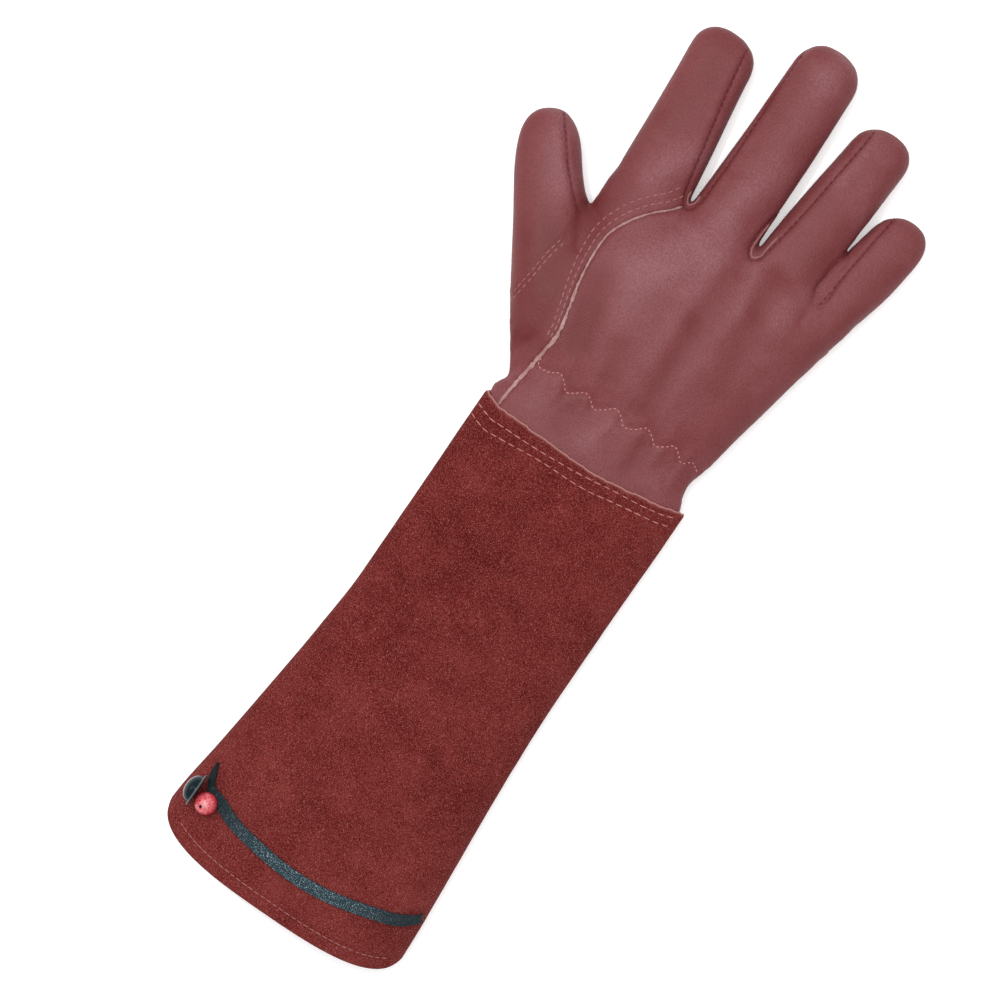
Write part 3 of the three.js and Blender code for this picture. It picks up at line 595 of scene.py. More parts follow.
THUMB_PALM_SEAM = [
    (-56.4, 84.5), (-48, 85), (-40, 79), (-33, 70), (-27, 60), (-22.6, 50), (-21.4, 40),
    (-24, 30), (-30, 23.4), (-38, 20.4), (-46, 21.6), (-53, 24), (-65, 22),
]
THUMB_SIDE_SEAM = [(-58, 78.5), (-64, 83), (-72, 91), (-80, 101), (-86, 108.5)]
THUMB_OUTSIDE = [(-120, 10), (-140, 130), (-62, 130)]
BACK_OUTSIDE = [(-21.4, 105), (-21, 199), (-16, 210), (120, 210), (120, -40), (-41, -40)]
# Where the two fingers' fronts meet, and where the seams leave the hand's side for the fingers'
MIDDLE_CLEFT = (10.8, 103)
FINGERS_START = 100
SEAM_STEP = 1.5
PATCH_OUTLINE = [
    (-44.6, 93.5), (-43.4, 88.6), (-38, 86), (-28, 84), (-15, 80), (0, 74), (15, 66), (30, 57),
    (40, 50), (50, 41.5), (70, 24), (72, 96), (57, 90), (45, 92.4), (35, 95.5), (20, 98),
    (5, 100), (-10, 101.4), (-30, 101.6), (-40, 98.6),
]


def outlined(*lines):
    return np.concatenate([np.asarray(line, float) for line in lines])


def in_plan(outline):
    """A function of plan points: how far inside an outline they are."""
    return lambda x, y: inside_distance(x, y, outline)


def two_sided(level, above, below):
    """Inside one outline above a level, or inside another one below it."""
    def inside_of(x, y, z):
        over = np.minimum(z - level, above(x, y))
        return np.maximum(over, np.minimum(level - z, below(x, y)))

    return inside_of


def front_of(outline):
    """Inside an outline on the palm's side of a finger."""
    return lambda x, y, z: np.minimum(FINGER_MIDDLE - z, inside_distance(x, y, outline))


def thumb_outline(seam):
    return in_plan(outlined(smooth_line(seam, SEAM_STEP), THUMB_OUTSIDE))


def cleft_outline(seam):
    return in_plan(smooth_line(seam, SEAM_STEP))


def front_outlines():
    """The middle and ring fingers' fronts, which meet at the cleft between them."""
    front = smooth_line(FRONT_SEAM, SEAM_STEP)
    first, second = front[front[:, 0] < MIDDLE_CLEFT[0]], front[front[:, 0] > MIDDLE_CLEFT[0]]
    middle = outlined(first, [MIDDLE_CLEFT, (6, 199), (-20, 199), (-36, 186)])
    ring = outlined([MIDDLE_CLEFT], second, [(41.4, 190), (12, 190)])
    return middle, ring


def on_the_back(x, y, z):
    seam = smooth_line(BACK_SEAM, SEAM_STEP)
    inside = inside_distance(x, y, outlined(seam, BACK_OUTSIDE))
    level = np.where(y > FINGERS_START, FINGER_MIDDLE, SIDE_SEAM)
    return np.minimum(z - level, inside)


MIDDLE_FRONT, RING_FRONT = front_outlines()
# The panels in the order of cutting out, each with values that are positive inside it
PANELS = [
    ("thumb", two_sided(
        SIDE_SEAM, thumb_outline(THUMB_BACK_SEAM), thumb_outline(THUMB_PALM_SEAM)
    )),
    ("fourchette_index_middle", two_sided(
        FINGER_MIDDLE, cleft_outline(CLEFT_ONE_BACK), cleft_outline(CLEFT_ONE_PALM)
    )),
    ("fourchette_middle_ring", two_sided(
        FINGER_MIDDLE, cleft_outline(CLEFT_TWO_BACK), cleft_outline(CLEFT_TWO_PALM)
    )),
    ("fourchette_ring_little", two_sided(
        FINGER_MIDDLE, cleft_outline(CLEFT_THREE_BACK), cleft_outline(CLEFT_THREE_PALM)
    )),
    ("middle_finger_front", front_of(MIDDLE_FRONT)),
    ("ring_finger_front", front_of(RING_FRONT)),
    ("hand_back", on_the_back),
]


def cut_panels(points, faces):
    """Marks every face with its panel's number. Number 0 is the palm, which is what is left."""
    marks = np.zeros(len(faces), int)
    names = ["hand_palm"]
    for name, inside_of in PANELS:
        points, faces, marks, values = cut_along(points, faces, marks, inside_of(*points.T))
        corners = values[faces]
        inside = (corners.max(1) > 0) & (corners.min(1) >= 0) & (marks == 0)
        names.append(name)
        marks[inside] = len(names) - 1
    return points, faces, marks, names


def seam_points(points, faces, marks):
    """Corner numbers that lie between two panels."""
    lowest = np.full(len(points), 99)
    highest = np.full(len(points), -1)
    for i in range(3):
        np.minimum.at(lowest, faces[:, i], marks)
        np.maximum.at(highest, faces[:, i], marks)
    return np.flatnonzero((lowest != highest) & (highest >= 0))


def nearest_of(targets, points):
    tree = KDTree(len(targets))
    for i, p in enumerate(targets):
        tree.insert(p, i)
    tree.balance()
    return np.array([tree.find(p)[2] for p in points])


# Relief of the leather: seams sink in, the wrist gathers on its elastic, and creases run across

ELASTIC_LINE = [
    (-37.2, 22), (-36.2, 17.4), (-31, 17.6), (-26.5, 19.6), (-24, 18), (-20.5, 14.8), (-17.5, 16.4),
    (-13.5, 19), (-10.5, 17.6), (-7.5, 15.4), (-4, 17.4), (0.5, 20.6), (3.5, 19), (6.5, 16.4),
    (11, 18), (15, 21.2), (18.5, 19.6), (21.5, 17.2), (25, 19), (28.5, 21.6), (31.5, 20),
    (34.5, 17.6), (38.5, 20.4), (41.5, 18.8),
]
# Where a seam is sewn flat and hardly shows: place and reach
FLAT_SEAMS = [
    (42.4, 101.6, 5.0),
    (-40.5, 175.5, 3.0),
    (-19.0, 188, 3.0),
    (22.6, 176, 3.0),
    (50.6, 152.0, 3.0),
]
CREASES = [
    (-57, 84, -44, 78, 1.6, -0.5),
    (-58, 80, -50, 66, 2.0, -0.5),
    (-50, 14, -44, 26, 2.0, -0.6),
    (-46, 9, -38, 16, 2.2, -0.5),
    (42, 9, 33, 14, 2.4, -0.6),
    (43, 18, 36, 28, 2.2, -0.4),
    (-23, 104, -21, 96, 1.6, -0.5),
    (-24, 104, -30, 99, 1.6, -0.35),
    (10.6, 102, 10, 94, 1.6, -0.5),
    (10.6, 102, 15, 96, 1.6, -0.35),
    (42, 102, 42, 92, 1.6, -0.5),
    (-57, 118, -44, 121, 2.2, -0.2),
    (-20, 128, -4, 130, 2.4, -0.2),
    (14, 124, 30, 127, 2.2, -0.2),
    (46, 118, 60, 120, 2.0, -0.2),
]
# The line through the clefts, where the leather is drawn tight
CLEFT_LINE = [(-56, 84), (-23, 104), (10.6, 102), (42, 102)]


def open_seams(x, y, over):
    """1 where a seam shows as a groove, and near 0 where it's sewn flat."""
    flat = over * bell(near_line(x, y, THUMB_BACK_SEAM), 3)
    for spot_x, spot_y, reach in FLAT_SEAMS:
        flat = np.maximum(flat, bell(np.hypot(x - spot_x, y - spot_y), reach))
    return 1 - 0.9 * flat


# The wrist's middle, and its gathers: depth, wave, and the noise that pulls them aside, as its
# strength, size and seed
WRIST_MIDDLE = 19
GATHERS = [(0.4, 13.0, 3, 16, 5), (0.12, 6.1, 4, 14, 6)]
# How deep the elastic's zigzag and the wrist sink
ELASTIC_SINK, WRIST_SINK = 0.6, 0.3
# The cuff covers the leather below the first of these places, and it shows above the second
COVERED, IN_VIEW = -7, 1
# Wrinkles run along the hand, so their noise is drawn out that way
WRINKLE_STRETCH = (1.0, 0.55, 1.0)
# A seam's groove, and the puckered ridge beside it
RIDGE_HEIGHT, RIDGE_PLACE, GROOVE_DEPTH = 0.2, 2.4, 0.32
# The skin that lies on the table keeps flat, and only part of its seams shows
ON_TABLE, TABLE_SEAMS = 0.4, 0.4


def wrist_relief(points):
    x, y, _ = points.T
    gather = sum(
        depth * np.cos(2 * math.pi * (x + pull * soft_noise(points, size, seed)) / wave)
        for depth, wave, pull, size, seed in GATHERS
    )
    zigzag = ELASTIC_SINK * bell(near_line(x, y, ELASTIC_LINE), 1.8)
    return gather * bell(y - WRIST_MIDDLE, 11) - zigzag - WRIST_SINK * bell(y - WRIST_MIDDLE, 6)


def wrinkle_relief(points):
    """Fine wrinkles, deeper near the wrist and between the fingers."""
    x, y, _ = points.T
    tension = 0.25 + 0.75 * bell(y - 14, 16) + 0.5 * bell(near_line(x, y, CLEFT_LINE), 12)
    stretched = points * np.array(WRINKLE_STRETCH)
    return tension * (0.2 * soft_noise(stretched, 5.5, 11) + 0.08 * soft_noise(points, 2.6, 12))


def leather_relief(points, normals, seam_gap):
    """How far each point of the hand's skin moves along its normal."""
    x, y, z = points.T
    over = step_between(normals[:, 2], 0.0, 0.6)
    shown = step_between(y, COVERED, IN_VIEW)
    broad = 0.3 * soft_noise(points, 22, 13) * (over + 0.4 * (1 - over))
    back = over * (wrist_relief(points) + soft_folds(x, y, CREASES))
    body = shown * (back + wrinkle_relief(points) + broad)
    pucker = 1 + 0.35 * soft_noise(points, 2.2, 14)
    ridge = RIDGE_HEIGHT * bell(seam_gap - RIDGE_PLACE, 1.6) * pucker
    seam = shown * open_seams(x, y, over) * (ridge - GROOVE_DEPTH * bell(seam_gap, 0.7))
    low = z < ON_TABLE
    return np.where(low, 0, body) + np.where(low, TABLE_SEAMS, 1) * seam


# Meshes


def mesh_object(name, points, faces, material, shares=None, sharp=50):
    """A piece from points in millimetres, with per-corner shares such as how near a seam is."""
    mesh = bpy.data.meshes.new(name)
    mesh.from_pydata((np.asarray(points) * MM).tolist(), [], [list(f) for f in faces])
    mesh.materials.append(material)
    for key, values in (shares or {}).items():
        layer = mesh.attributes.new(key, "FLOAT", "POINT")
        layer.data.foreach_set("value", np.asarray(values, np.float32))
    mesh.update()
    mesh.shade_smooth()
    mesh.set_sharp_from_angle(angle=math.radians(sharp))
    return linked_object(name, mesh)


def finish_piece(made, slot, *nodes):
    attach(made, "root")
    if nodes:
        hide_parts(*nodes)


def with_wall(points, normals, faces, inner, outer):
    """A closed wall over faces: an outer and an inner skin, joined round every open edge."""
    used, local = np.unique(faces, return_inverse=True)
    local = local.reshape(faces.shape)
    n, corners = len(used), faces.shape[1]
    edges = np.concatenate([local[:, [i, (i + 1) % corners]] for i in range(corners)])
    code = edges[:, 0] * n + edges[:, 1]
    back = edges[:, 1] * n + edges[:, 0]
    wall = [tuple(f) for f in local] + [tuple(f[::-1] + n) for f in local]
    wall += [(b, a, a + n, b + n) for a, b in edges[~np.isin(code, back)]]
    top = points[used] + normals[used] * np.reshape(outer, (-1, 1))
    bottom = points[used] + normals[used] * np.reshape(inner, (-1, 1))
    return np.concatenate([top, bottom]), wall, used


def surface_under(points, faces):
    return BVHTree.FromPolygons(
        [tuple(p) for p in points], [tuple(int(i) for i in f) for f in faces]
    )


def evened(rows):
    """Rows averaged with their neighbours. The two ends stay."""
    inner = (rows[:-2] + 2 * rows[1:-1] + rows[2:]) / 4
    return np.concatenate([rows[:1], inner, rows[-1:]])


# How far above or below the table the rays start
RAY_START = 80.0


def lay_on(surface, line, from_above=True):
    """Points and normals where a plan line falls on a surface."""
    side = 1 if from_above else -1
    spots, normals = [], []
    for x, y in line:
        hit, normal, _, _ = surface.ray_cast(
            Vector((x, y, side * RAY_START)), Vector((0, 0, -side))
        )
        if hit is None:
            continue
        spots.append(hit)
        normals.append(-normal if normal.z * side < 0 else normal)
    normals = np.array(normals)
    for _ in range(2):
        if len(normals) > 4:
            normals = evened(normals)
    return np.array(spots), unit(normals)


def tube_faces(count, sides, inside_out=False):
    """Faces of a closed tube of rings, with both ends shut."""
    walls = []
    for i in range(count - 1):
        for k in range(sides):
            a, b = i * sides + k, i * sides + (k + 1) % sides
            walls.append((a, b, b + sides, a + sides))
    ends = [tuple(range(sides))[::-1], tuple((count - 1) * sides + k for k in range(sides))]
    if inside_out:
        return [(a, d, c, b) for a, b, c, d in walls] + [end[::-1] for end in ends]
    return walls + ends


CORD_SIDES = 8


def cord_along(spots, normals, wide, tall, lift, ragged=0.0, seed=1):
    """A closed bead of leather along points, flattened on its surface."""
    across = unit(np.cross(unit(np.gradient(spots, axis=0)), normals))
    turn = 2 * math.pi * np.arange(CORD_SIDES) / CORD_SIDES
    count = len(spots)
    rings = []
    for i in range(count):
        taper = min(1.0, 0.35 + 0.4 * min(i, count - 1 - i))
        flat = np.cos(turn)[:, None] * across[i] * wide / 2
        upright = np.sin(turn)[:, None] * normals[i] * tall / 2
        rings.append(spots[i] + normals[i] * lift + taper * (flat + upright))
    points = np.concatenate(rings)
    if ragged:
        points = points + ragged * rough_shift(points, 1.3, seed)
    return points, tube_faces(count, CORD_SIDES)


def join_parts(parts):
    points, faces, start = [], [], 0
    for p, f in parts:
        points.append(p)
        faces += [tuple(int(i) + start for i in face) for face in f]
        start += len(p)
    return np.concatenate(points), faces


# Shader groups and materials


def add(tree, kind, inputs=None, **settings):
    """A node with its settings. Each input is a plain value or another node's output."""
    made = tree.nodes.new(kind)
    for key, value in settings.items():
        setattr(made, key, value)
    for key, value in (inputs or {}).items():
        if isinstance(value, bpy.types.NodeSocket):
            tree.links.new(value, made.inputs[key])
        else:
            made.inputs[key].default_value = value
    return made


def coordinates(tree, kind="Object"):
    return add(tree, "ShaderNodeTexCoord").outputs[kind]


def share(tree, name):
    """One of the piece's own attributes."""
    return add(tree, "ShaderNodeAttribute", attribute_name=name).outputs["Fac"]


def level_of(tree, value, low, high, to_low=0.0, to_high=1.0):
    """The value's way from low to high, as a way from to_low to to_high."""
    return add(tree, "ShaderNodeMapRange", {
        "Value": value, "From Min": low, "From Max": high, "To Min": to_low, "To Max": to_high,
    }).outputs[0]


def put_out(tree, out, **sockets):
    for label, source in sockets.items():
        tree.links.new(source, out.inputs[label])


def new_group(name, inputs, outputs):
    tree = bpy.data.node_groups.new(name, "ShaderNodeTree")
    for label, value in inputs.items():
        socket = tree.interface.new_socket(label, in_out="INPUT", socket_type="NodeSocketFloat")
        socket.default_value = value
    for label in outputs:
        tree.interface.new_socket(label, in_out="OUTPUT", socket_type="NodeSocketFloat")
    return tree, tree.nodes.new("NodeGroupInput"), tree.nodes.new("NodeGroupOutput")


def math_node(tree, operation, a, b):
    return add(tree, "ShaderNodeMath", {0: a, 1: b}, operation=operation).outputs[0]


def grain_group():
    """Pebbled leather: rounded cells that noise pulls out of line, and fine creases."""
    tree, inp, out = new_group(
        "leather_grain", {"Cells per metre": 900.0, "Pull": 0.35}, ("Height",)
    )
    place = coordinates(tree)
    warp = add(tree, "ShaderNodeTexNoise", {"Scale": 420.0, "Detail": 3.0, "Vector": place})
    pull = math_node(tree, "MULTIPLY", inp.outputs["Pull"], FARTHEST_PULL)
    shift = add(
        tree, "ShaderNodeVectorMath", {0: warp.outputs["Color"], "Scale": pull}, operation="SCALE"
    )
    total = add(tree, "ShaderNodeVectorMath", {0: place, 1: shift.outputs[0]}, operation="ADD")
    cells = add(
        tree, "ShaderNodeTexVoronoi",
        {"Smoothness": 0.5, "Vector": total.outputs[0], "Scale": inp.outputs["Cells per metre"]},
        feature="SMOOTH_F1",
    )
    creases = add(
        tree, "ShaderNodeTexNoise",
        {"Scale": 260.0, "Detail": 5.0, "Roughness": 0.6, "Vector": place},
    )
    dome = math_node(tree, "SUBTRACT", 1.0, cells.outputs["Distance"])
    fold = math_node(tree, "MULTIPLY", creases.outputs[0], 0.6)
    put_out(tree, out, Height=math_node(tree, "ADD", dome, fold))
    return tree


def nap_group():
    """Suede: short fibres lying in clumps, with paler specks where they stand up."""
    tree, inp, out = new_group(
        "suede_nap", {"Fibres per metre": 1500.0, "Clumps per metre": 320.0},
        ("Height", "Fibre", "Speck"),
    )
    place = coordinates(tree)
    squash = add(tree, "ShaderNodeMapping", {
        "Vector": place, "Scale": (1.0, 0.75, 1.0), "Rotation": (0.0, 0.0, 0.5),
    }).outputs[0]
    clump = add(tree, "ShaderNodeTexNoise", {
        "Detail": 3.0, "Roughness": 0.55, "Distortion": 0.6,
        "Vector": place, "Scale": inp.outputs["Clumps per metre"],
    }).outputs[0]
    fibre = add(tree, "ShaderNodeTexNoise", {
        "Detail": 4.0, "Roughness": 0.75, "Distortion": 1.2,
        "Vector": squash, "Scale": inp.outputs["Fibres per metre"],
    }).outputs[0]
    speck = add(tree, "ShaderNodeTexNoise", {
        "Scale": 2600.0, "Detail": 1.0, "Roughness": 0.6, "Vector": squash,
    }).outputs[0]
    put_out(
        tree, out,
        Height=math_node(tree, "ADD", math_node(tree, "MULTIPLY", clump, 0.7), fibre),
        Fibre=fibre,
        Speck=level_of(tree, speck, 0.59, 0.70),
    )
    return tree


def cloud_group():
    """Broad uneven tone, as dye takes up in a hide."""
    tree, inp, out = new_group("cloudy_tone", {"Clouds per metre": 30.0}, ("Tone",))
    cloud = add(tree, "ShaderNodeTexNoise", {
        "Detail": 4.0, "Roughness": 0.55, "Distortion": 0.4,
        "Vector": coordinates(tree), "Scale": inp.outputs["Clouds per metre"],
    })
    put_out(tree, out, Tone=level_of(tree, cloud.outputs[0], 0.32, 0.68))
    return tree


def share_group():
    """How near a seam or a raw edge a point is, and its tone, from the piece's own attributes. The
    seam share also carries painted edge shade, and on the hand the tone is painted light and shade.
    """
    tree, inp, out = new_group("edges_and_painted_shade", {"Seam depth": 1.0}, ("Seam", "Raw", "Tone"))
    put_out(
        tree, out,
        Seam=math_node(tree, "MULTIPLY", share(tree, "seam"), inp.outputs["Seam depth"]),
        Raw=share(tree, "raw"),
        Tone=level_of(tree, share(tree, "tone"), -1.0, 1.0),
    )
    return tree


# How far noise may pull the grain's cells, in metres
FARTHEST_PULL = 0.004
GRAIN, NAP, CLOUD, EDGES = grain_group(), nap_group(), cloud_group(), share_group()


def use_group(tree, group, **values):
    made = add(tree, "ShaderNodeGroup", node_tree=group)
    for label, value in values.items():
        made.inputs[label.replace("_", " ")].default_value = value
    return made


def blend_colour(tree, factor, a, b):
    """Mixes two colours, each a colour or another node's output."""
    made = add(tree, "ShaderNodeMix", {0: factor}, data_type="RGBA", clamp_factor=True)
    for number, value in ((6, a), (7, b)):
        if isinstance(value, tuple):
            made.inputs[number].default_value = (*value, 1.0)
        else:
            tree.links.new(value, made.inputs[number])
    return made.outputs[2]


def three_tones(tree, level, dark, middle, light):
    """A ramp of three colours."""
    made = add(tree, "ShaderNodeValToRGB", {0: level})
    ramp = made.color_ramp
    ramp.elements[0].color = (*dark, 1.0)
    ramp.elements[1].color = (*light, 1.0)
    ramp.elements.new(0.5).color = (*middle, 1.0)
    return made.outputs[0]


def new_material(name, colour, rough, **settings):
    material = bpy.data.materials.new(name)
    material.use_nodes = True
    material.diffuse_color = (*colour, 1.0)
    tree = material.node_tree
    shader = tree.nodes["Principled BSDF"]
    shader.inputs["Base Color"].default_value = (*colour, 1.0)
    shader.inputs["Roughness"].default_value = rough
    for label, value in settings.items():
        shader.inputs[label.replace("_", " ")].default_value = value
    return material, tree, shader


def paint(tree, shader, colour, height, distance, strength):
    """Gives the shader its colour and its bump, which is `distance` metres high."""
    bump = add(
        tree, "ShaderNodeBump", {"Strength": strength, "Distance": distance, "Height": height}
    )
    tree.links.new(colour, shader.inputs["Base Color"])
    tree.links.new(bump.outputs[0], shader.inputs["Normal"])


# The dark and light ends take the painted fold light and shade as well as the random dye tone
LEATHER_DARK = (0.118, 0.0165, 0.0170)
LEATHER_TONE = (0.184, 0.0465, 0.0510)
LEATHER_LIGHT = (0.272, 0.1100, 0.1230)
# The seam colours also carry the painted edge shade where the surface turns down
LEATHER_SEAM = (0.085, 0.0055, 0.0070)
SUEDE_DARK = (0.052, 0.0018, 0.0016)
SUEDE_TONE = (0.112, 0.0085, 0.0076)
SUEDE_LIGHT = (0.212, 0.0390, 0.0350)
SUEDE_SPECK = (0.400, 0.140, 0.125)
SUEDE_SEAM = (0.040, 0.003, 0.003)
RAW_TONE = (0.52, 0.25, 0.23)
WELT_DARK, WELT_LIGHT = (0.33, 0.175, 0.165), (0.50, 0.32, 0.305)
WELT_FIBRE = (0.26, 0.10, 0.10)
KNIT_DARK, KNIT_LIGHT = (0.006, 0.016, 0.022), (0.092, 0.160, 0.192)
KNIT_WORN, KNIT_FLECK = (0.012, 0.030, 0.040), (0.34, 0.44, 0.50)
KNIT_SHADOW = (0.008, 0.016, 0.018)
BEAD_DARK, BEAD_LIGHT = (0.50, 0.024, 0.042), (0.62, 0.080, 0.100)
# The bead's pale crack colour, then its painted highlight on top, painted shade down its sides and
# painted shade in the bore
BEAD_CRACK, BEAD_PAINTED_HIGHLIGHT = (0.76, 0.28, 0.28), (0.74, 0.40, 0.42)
BEAD_PAINTED_SHADE, BEAD_BORE_SHADE = (0.50, 0.012, 0.034), (0.02, 0.001, 0.002)
BUTTON_DARK, BUTTON_LIGHT = (0.001, 0.005, 0.007), (0.007, 0.018, 0.023)
# Pale grey of the painted highlight along the button's rim
BUTTON_RIM_HIGHLIGHT = (0.17, 0.20, 0.21)


def grain_leather():
    material, tree, shader = new_material(
        "grain_leather", LEATHER_TONE, 0.5, Specular_IOR_Level=0.24
    )
    cloud = use_group(tree, CLOUD, Clouds_per_metre=48.0).outputs["Tone"]
    grain = use_group(tree, GRAIN, Cells_per_metre=1150.0, Pull=0.3)
    nap = use_group(tree, NAP, Fibres_per_metre=1700.0, Clumps_per_metre=500.0)
    edges = use_group(tree, EDGES, Seam_depth=0.5)
    # Painted light and shade: the fold tone paints ridges lighter and hollows darker; the cloud is
    # random dye tone.
    folds = math_node(tree, "MULTIPLY", edges.outputs["Tone"], 0.74)
    tone = math_node(tree, "ADD", folds, math_node(tree, "MULTIPLY", cloud, 0.26))
    smooth = three_tones(tree, tone, LEATHER_DARK, LEATHER_TONE, LEATHER_LIGHT)
    speckle = level_of(tree, nap.outputs["Fibre"], 0.4, 0.6, to_high=0.9)
    darker = blend_colour(tree, 0.7, smooth, LEATHER_DARK)
    colour = blend_colour(tree, speckle, smooth, darker)
    # The seam share also carries the painted edge shade.
    colour = blend_colour(tree, edges.outputs["Seam"], colour, LEATHER_SEAM)
    colour = blend_colour(tree, edges.outputs["Raw"], colour, RAW_TONE)
    tree.links.new(level_of(tree, cloud, 0.0, 1.0, 0.44, 0.60), shader.inputs["Roughness"])
    paint(tree, shader, colour, grain.outputs["Height"], 0.00016, 0.8)
    return material


def suede():
    material, tree, shader = new_material(
        "suede", SUEDE_TONE, 0.95, Specular_IOR_Level=0.08, Sheen_Weight=0.02,
        Sheen_Roughness=0.5, Sheen_Tint=(0.9, 0.35, 0.32, 1.0),
    )
    broad = use_group(tree, CLOUD, Clouds_per_metre=30.0).outputs["Tone"]
    small = use_group(tree, CLOUD, Clouds_per_metre=95.0).outputs["Tone"]
    nap = use_group(tree, NAP, Fibres_per_metre=3000.0, Clumps_per_metre=900.0)
    edges = use_group(tree, EDGES, Seam_depth=0.6)
    cloud = math_node(tree, "ADD", broad, small)
    shift = math_node(tree, "MULTIPLY", math_node(tree, "SUBTRACT", cloud, 1.0), 0.042)
    tone_band = math_node(tree, "SUBTRACT", edges.outputs["Tone"], 0.5)
    shift = math_node(tree, "ADD", shift, math_node(tree, "MULTIPLY", tone_band, 0.06))
    level = level_of(tree, math_node(tree, "ADD", nap.outputs["Fibre"], shift), 0.43, 0.57)
    colour = three_tones(tree, level, SUEDE_DARK, SUEDE_TONE, SUEDE_LIGHT)
    speck = math_node(tree, "MULTIPLY", nap.outputs["Speck"], 0.6)
    colour = blend_colour(tree, speck, colour, SUEDE_SPECK)
    # The seam share also carries the painted edge shade.
    colour = blend_colour(tree, edges.outputs["Seam"], colour, SUEDE_SEAM)
    colour = blend_colour(tree, edges.outputs["Raw"], colour, RAW_TONE)
    paint(tree, shader, colour, nap.outputs["Height"], 0.0003, 0.8)
    return material


def raw_leather():
    material, tree, shader = new_material("raw_leather", RAW_TONE, 0.85, Specular_IOR_Level=0.2)
    nap = use_group(tree, NAP, Fibres_per_metre=1300.0, Clumps_per_metre=700.0)
    cloud = use_group(tree, CLOUD, Clouds_per_metre=200.0).outputs["Tone"]
    colour = blend_colour(tree, cloud, WELT_DARK, WELT_LIGHT)
    fibre = level_of(tree, nap.outputs["Fibre"], 0.4, 0.62, to_high=0.8)
    colour = blend_colour(tree, fibre, colour, WELT_FIBRE)
    paint(tree, shader, colour, nap.outputs["Height"], 0.0003, 0.8)
    return material


def thread(name, light, dark):
    material, tree, shader = new_material(name, light, 0.7, Specular_IOR_Level=0.3)
    ply = add(tree, "ShaderNodeTexWave", {
        "Scale": 900.0, "Distortion": 1.5, "Vector": coordinates(tree),
    }).outputs["Fac"]
    colour = blend_colour(tree, math_node(tree, "MULTIPLY", ply, 0.6), light, dark)
    paint(tree, shader, colour, ply, 0.0001, 0.5)
    return material


def knitted_elastic():
    """Ribs run along the strap and stitches across it, on the strap's own map in millimetres."""
    material, tree, shader = new_material(
        "knitted_elastic", (0.05, 0.085, 0.09), 0.85, Specular_IOR_Level=0.25
    )
    place = coordinates(tree, "UV")
    ribs = add(
        tree, "ShaderNodeTexWave", {"Scale": 0.38, "Distortion": 2.2, "Vector": place},
        bands_direction="Y",
    )
    knit = add(
        tree, "ShaderNodeTexWave", {"Scale": 0.40, "Distortion": 5.0, "Vector": place},
        bands_direction="X",
    )
    height = math_node(tree, "MULTIPLY", ribs.outputs["Fac"], knit.outputs["Fac"])
    cloud = use_group(tree, CLOUD, Clouds_per_metre=260.0).outputs["Tone"]
    loops = use_group(tree, NAP, Fibres_per_metre=1700.0, Clumps_per_metre=700.0)
    colour = blend_colour(tree, height, KNIT_DARK, KNIT_LIGHT)
    colour = blend_colour(tree, math_node(tree, "MULTIPLY", cloud, 0.45), colour, KNIT_WORN)
    fleck = math_node(tree, "MULTIPLY", loops.outputs["Speck"], 0.95)
    colour = blend_colour(tree, fleck, colour, KNIT_FLECK)
    # On the strap the seam share is its painted shadow.
    colour = blend_colour(tree, share(tree, "seam"), colour, KNIT_SHADOW)
    paint(tree, shader, colour, height, 0.0004, 0.9)
    return material


def crackled_bead():
    """A painted highlight paler at the top and painted shade deeper down its sides, with a net of pale
    cracks and painted shade darkening its bore.
    """
    material, tree, shader = new_material(
        "bead_plastic", (0.70, 0.05, 0.07), 0.28, Specular_IOR_Level=0.45, Coat_Weight=0.2,
        Subsurface_Weight=0.12, Subsurface_Radius=(0.004, 0.0015, 0.0012),
    )
    place = coordinates(tree)
    facets = add(
        tree, "ShaderNodeTexVoronoi", {"Scale": 620.0, "Vector": place},
        feature="DISTANCE_TO_EDGE",
    ).outputs["Distance"]
    patches = add(
        tree, "ShaderNodeTexNoise", {"Scale": 420.0, "Detail": 3.0, "Vector": place}
    ).outputs[0]
    crack = level_of(tree, facets, 0.0, 0.14, 0.75, 0.0)
    height = share(tree, "tone")
    colour = blend_colour(tree, level_of(tree, patches, 0.38, 0.62), BEAD_DARK, BEAD_LIGHT)
    colour = blend_colour(tree, crack, colour, BEAD_CRACK)
    # Painted highlight on the bead's top and painted shade down its sides, by height.
    colour = blend_colour(tree, level_of(tree, height, 0.88, 1.0, 0.0, 0.45), colour, BEAD_PAINTED_HIGHLIGHT)
    colour = blend_colour(tree, level_of(tree, height, 0.86, 0.3, 0.0, 0.85), colour, BEAD_PAINTED_SHADE)
    # Painted shade inside the bore.
    colour = blend_colour(tree, share(tree, "seam"), colour, BEAD_BORE_SHADE)
    paint(tree, shader, colour, crack, 0.0001, 0.3)
    return material


def moulded_plastic():
    material, tree, shader = new_material(
        "button_plastic", (0.006, 0.014, 0.018), 0.16, Specular_IOR_Level=0.16
    )
    scuff = add(tree, "ShaderNodeTexNoise", {
        "Scale": 700.0, "Detail": 5.0, "Roughness": 0.7, "Vector": coordinates(tree),
    }).outputs[0]
    colour = blend_colour(tree, scuff, BUTTON_DARK, BUTTON_LIGHT)
    # Painted highlight: a pale grey band painted all round the rim's edge, from the raw share.
    tone_band = math_node(tree, "MULTIPLY", share(tree, "raw"), 0.4)
    colour = blend_colour(tree, tone_band, colour, BUTTON_RIM_HIGHLIGHT)
    tree.links.new(level_of(tree, scuff, 0.0, 1.0, 0.10, 0.14), shader.inputs["Roughness"])
    paint(tree, shader, colour, scuff, 0.00003, 0.2)
    return material


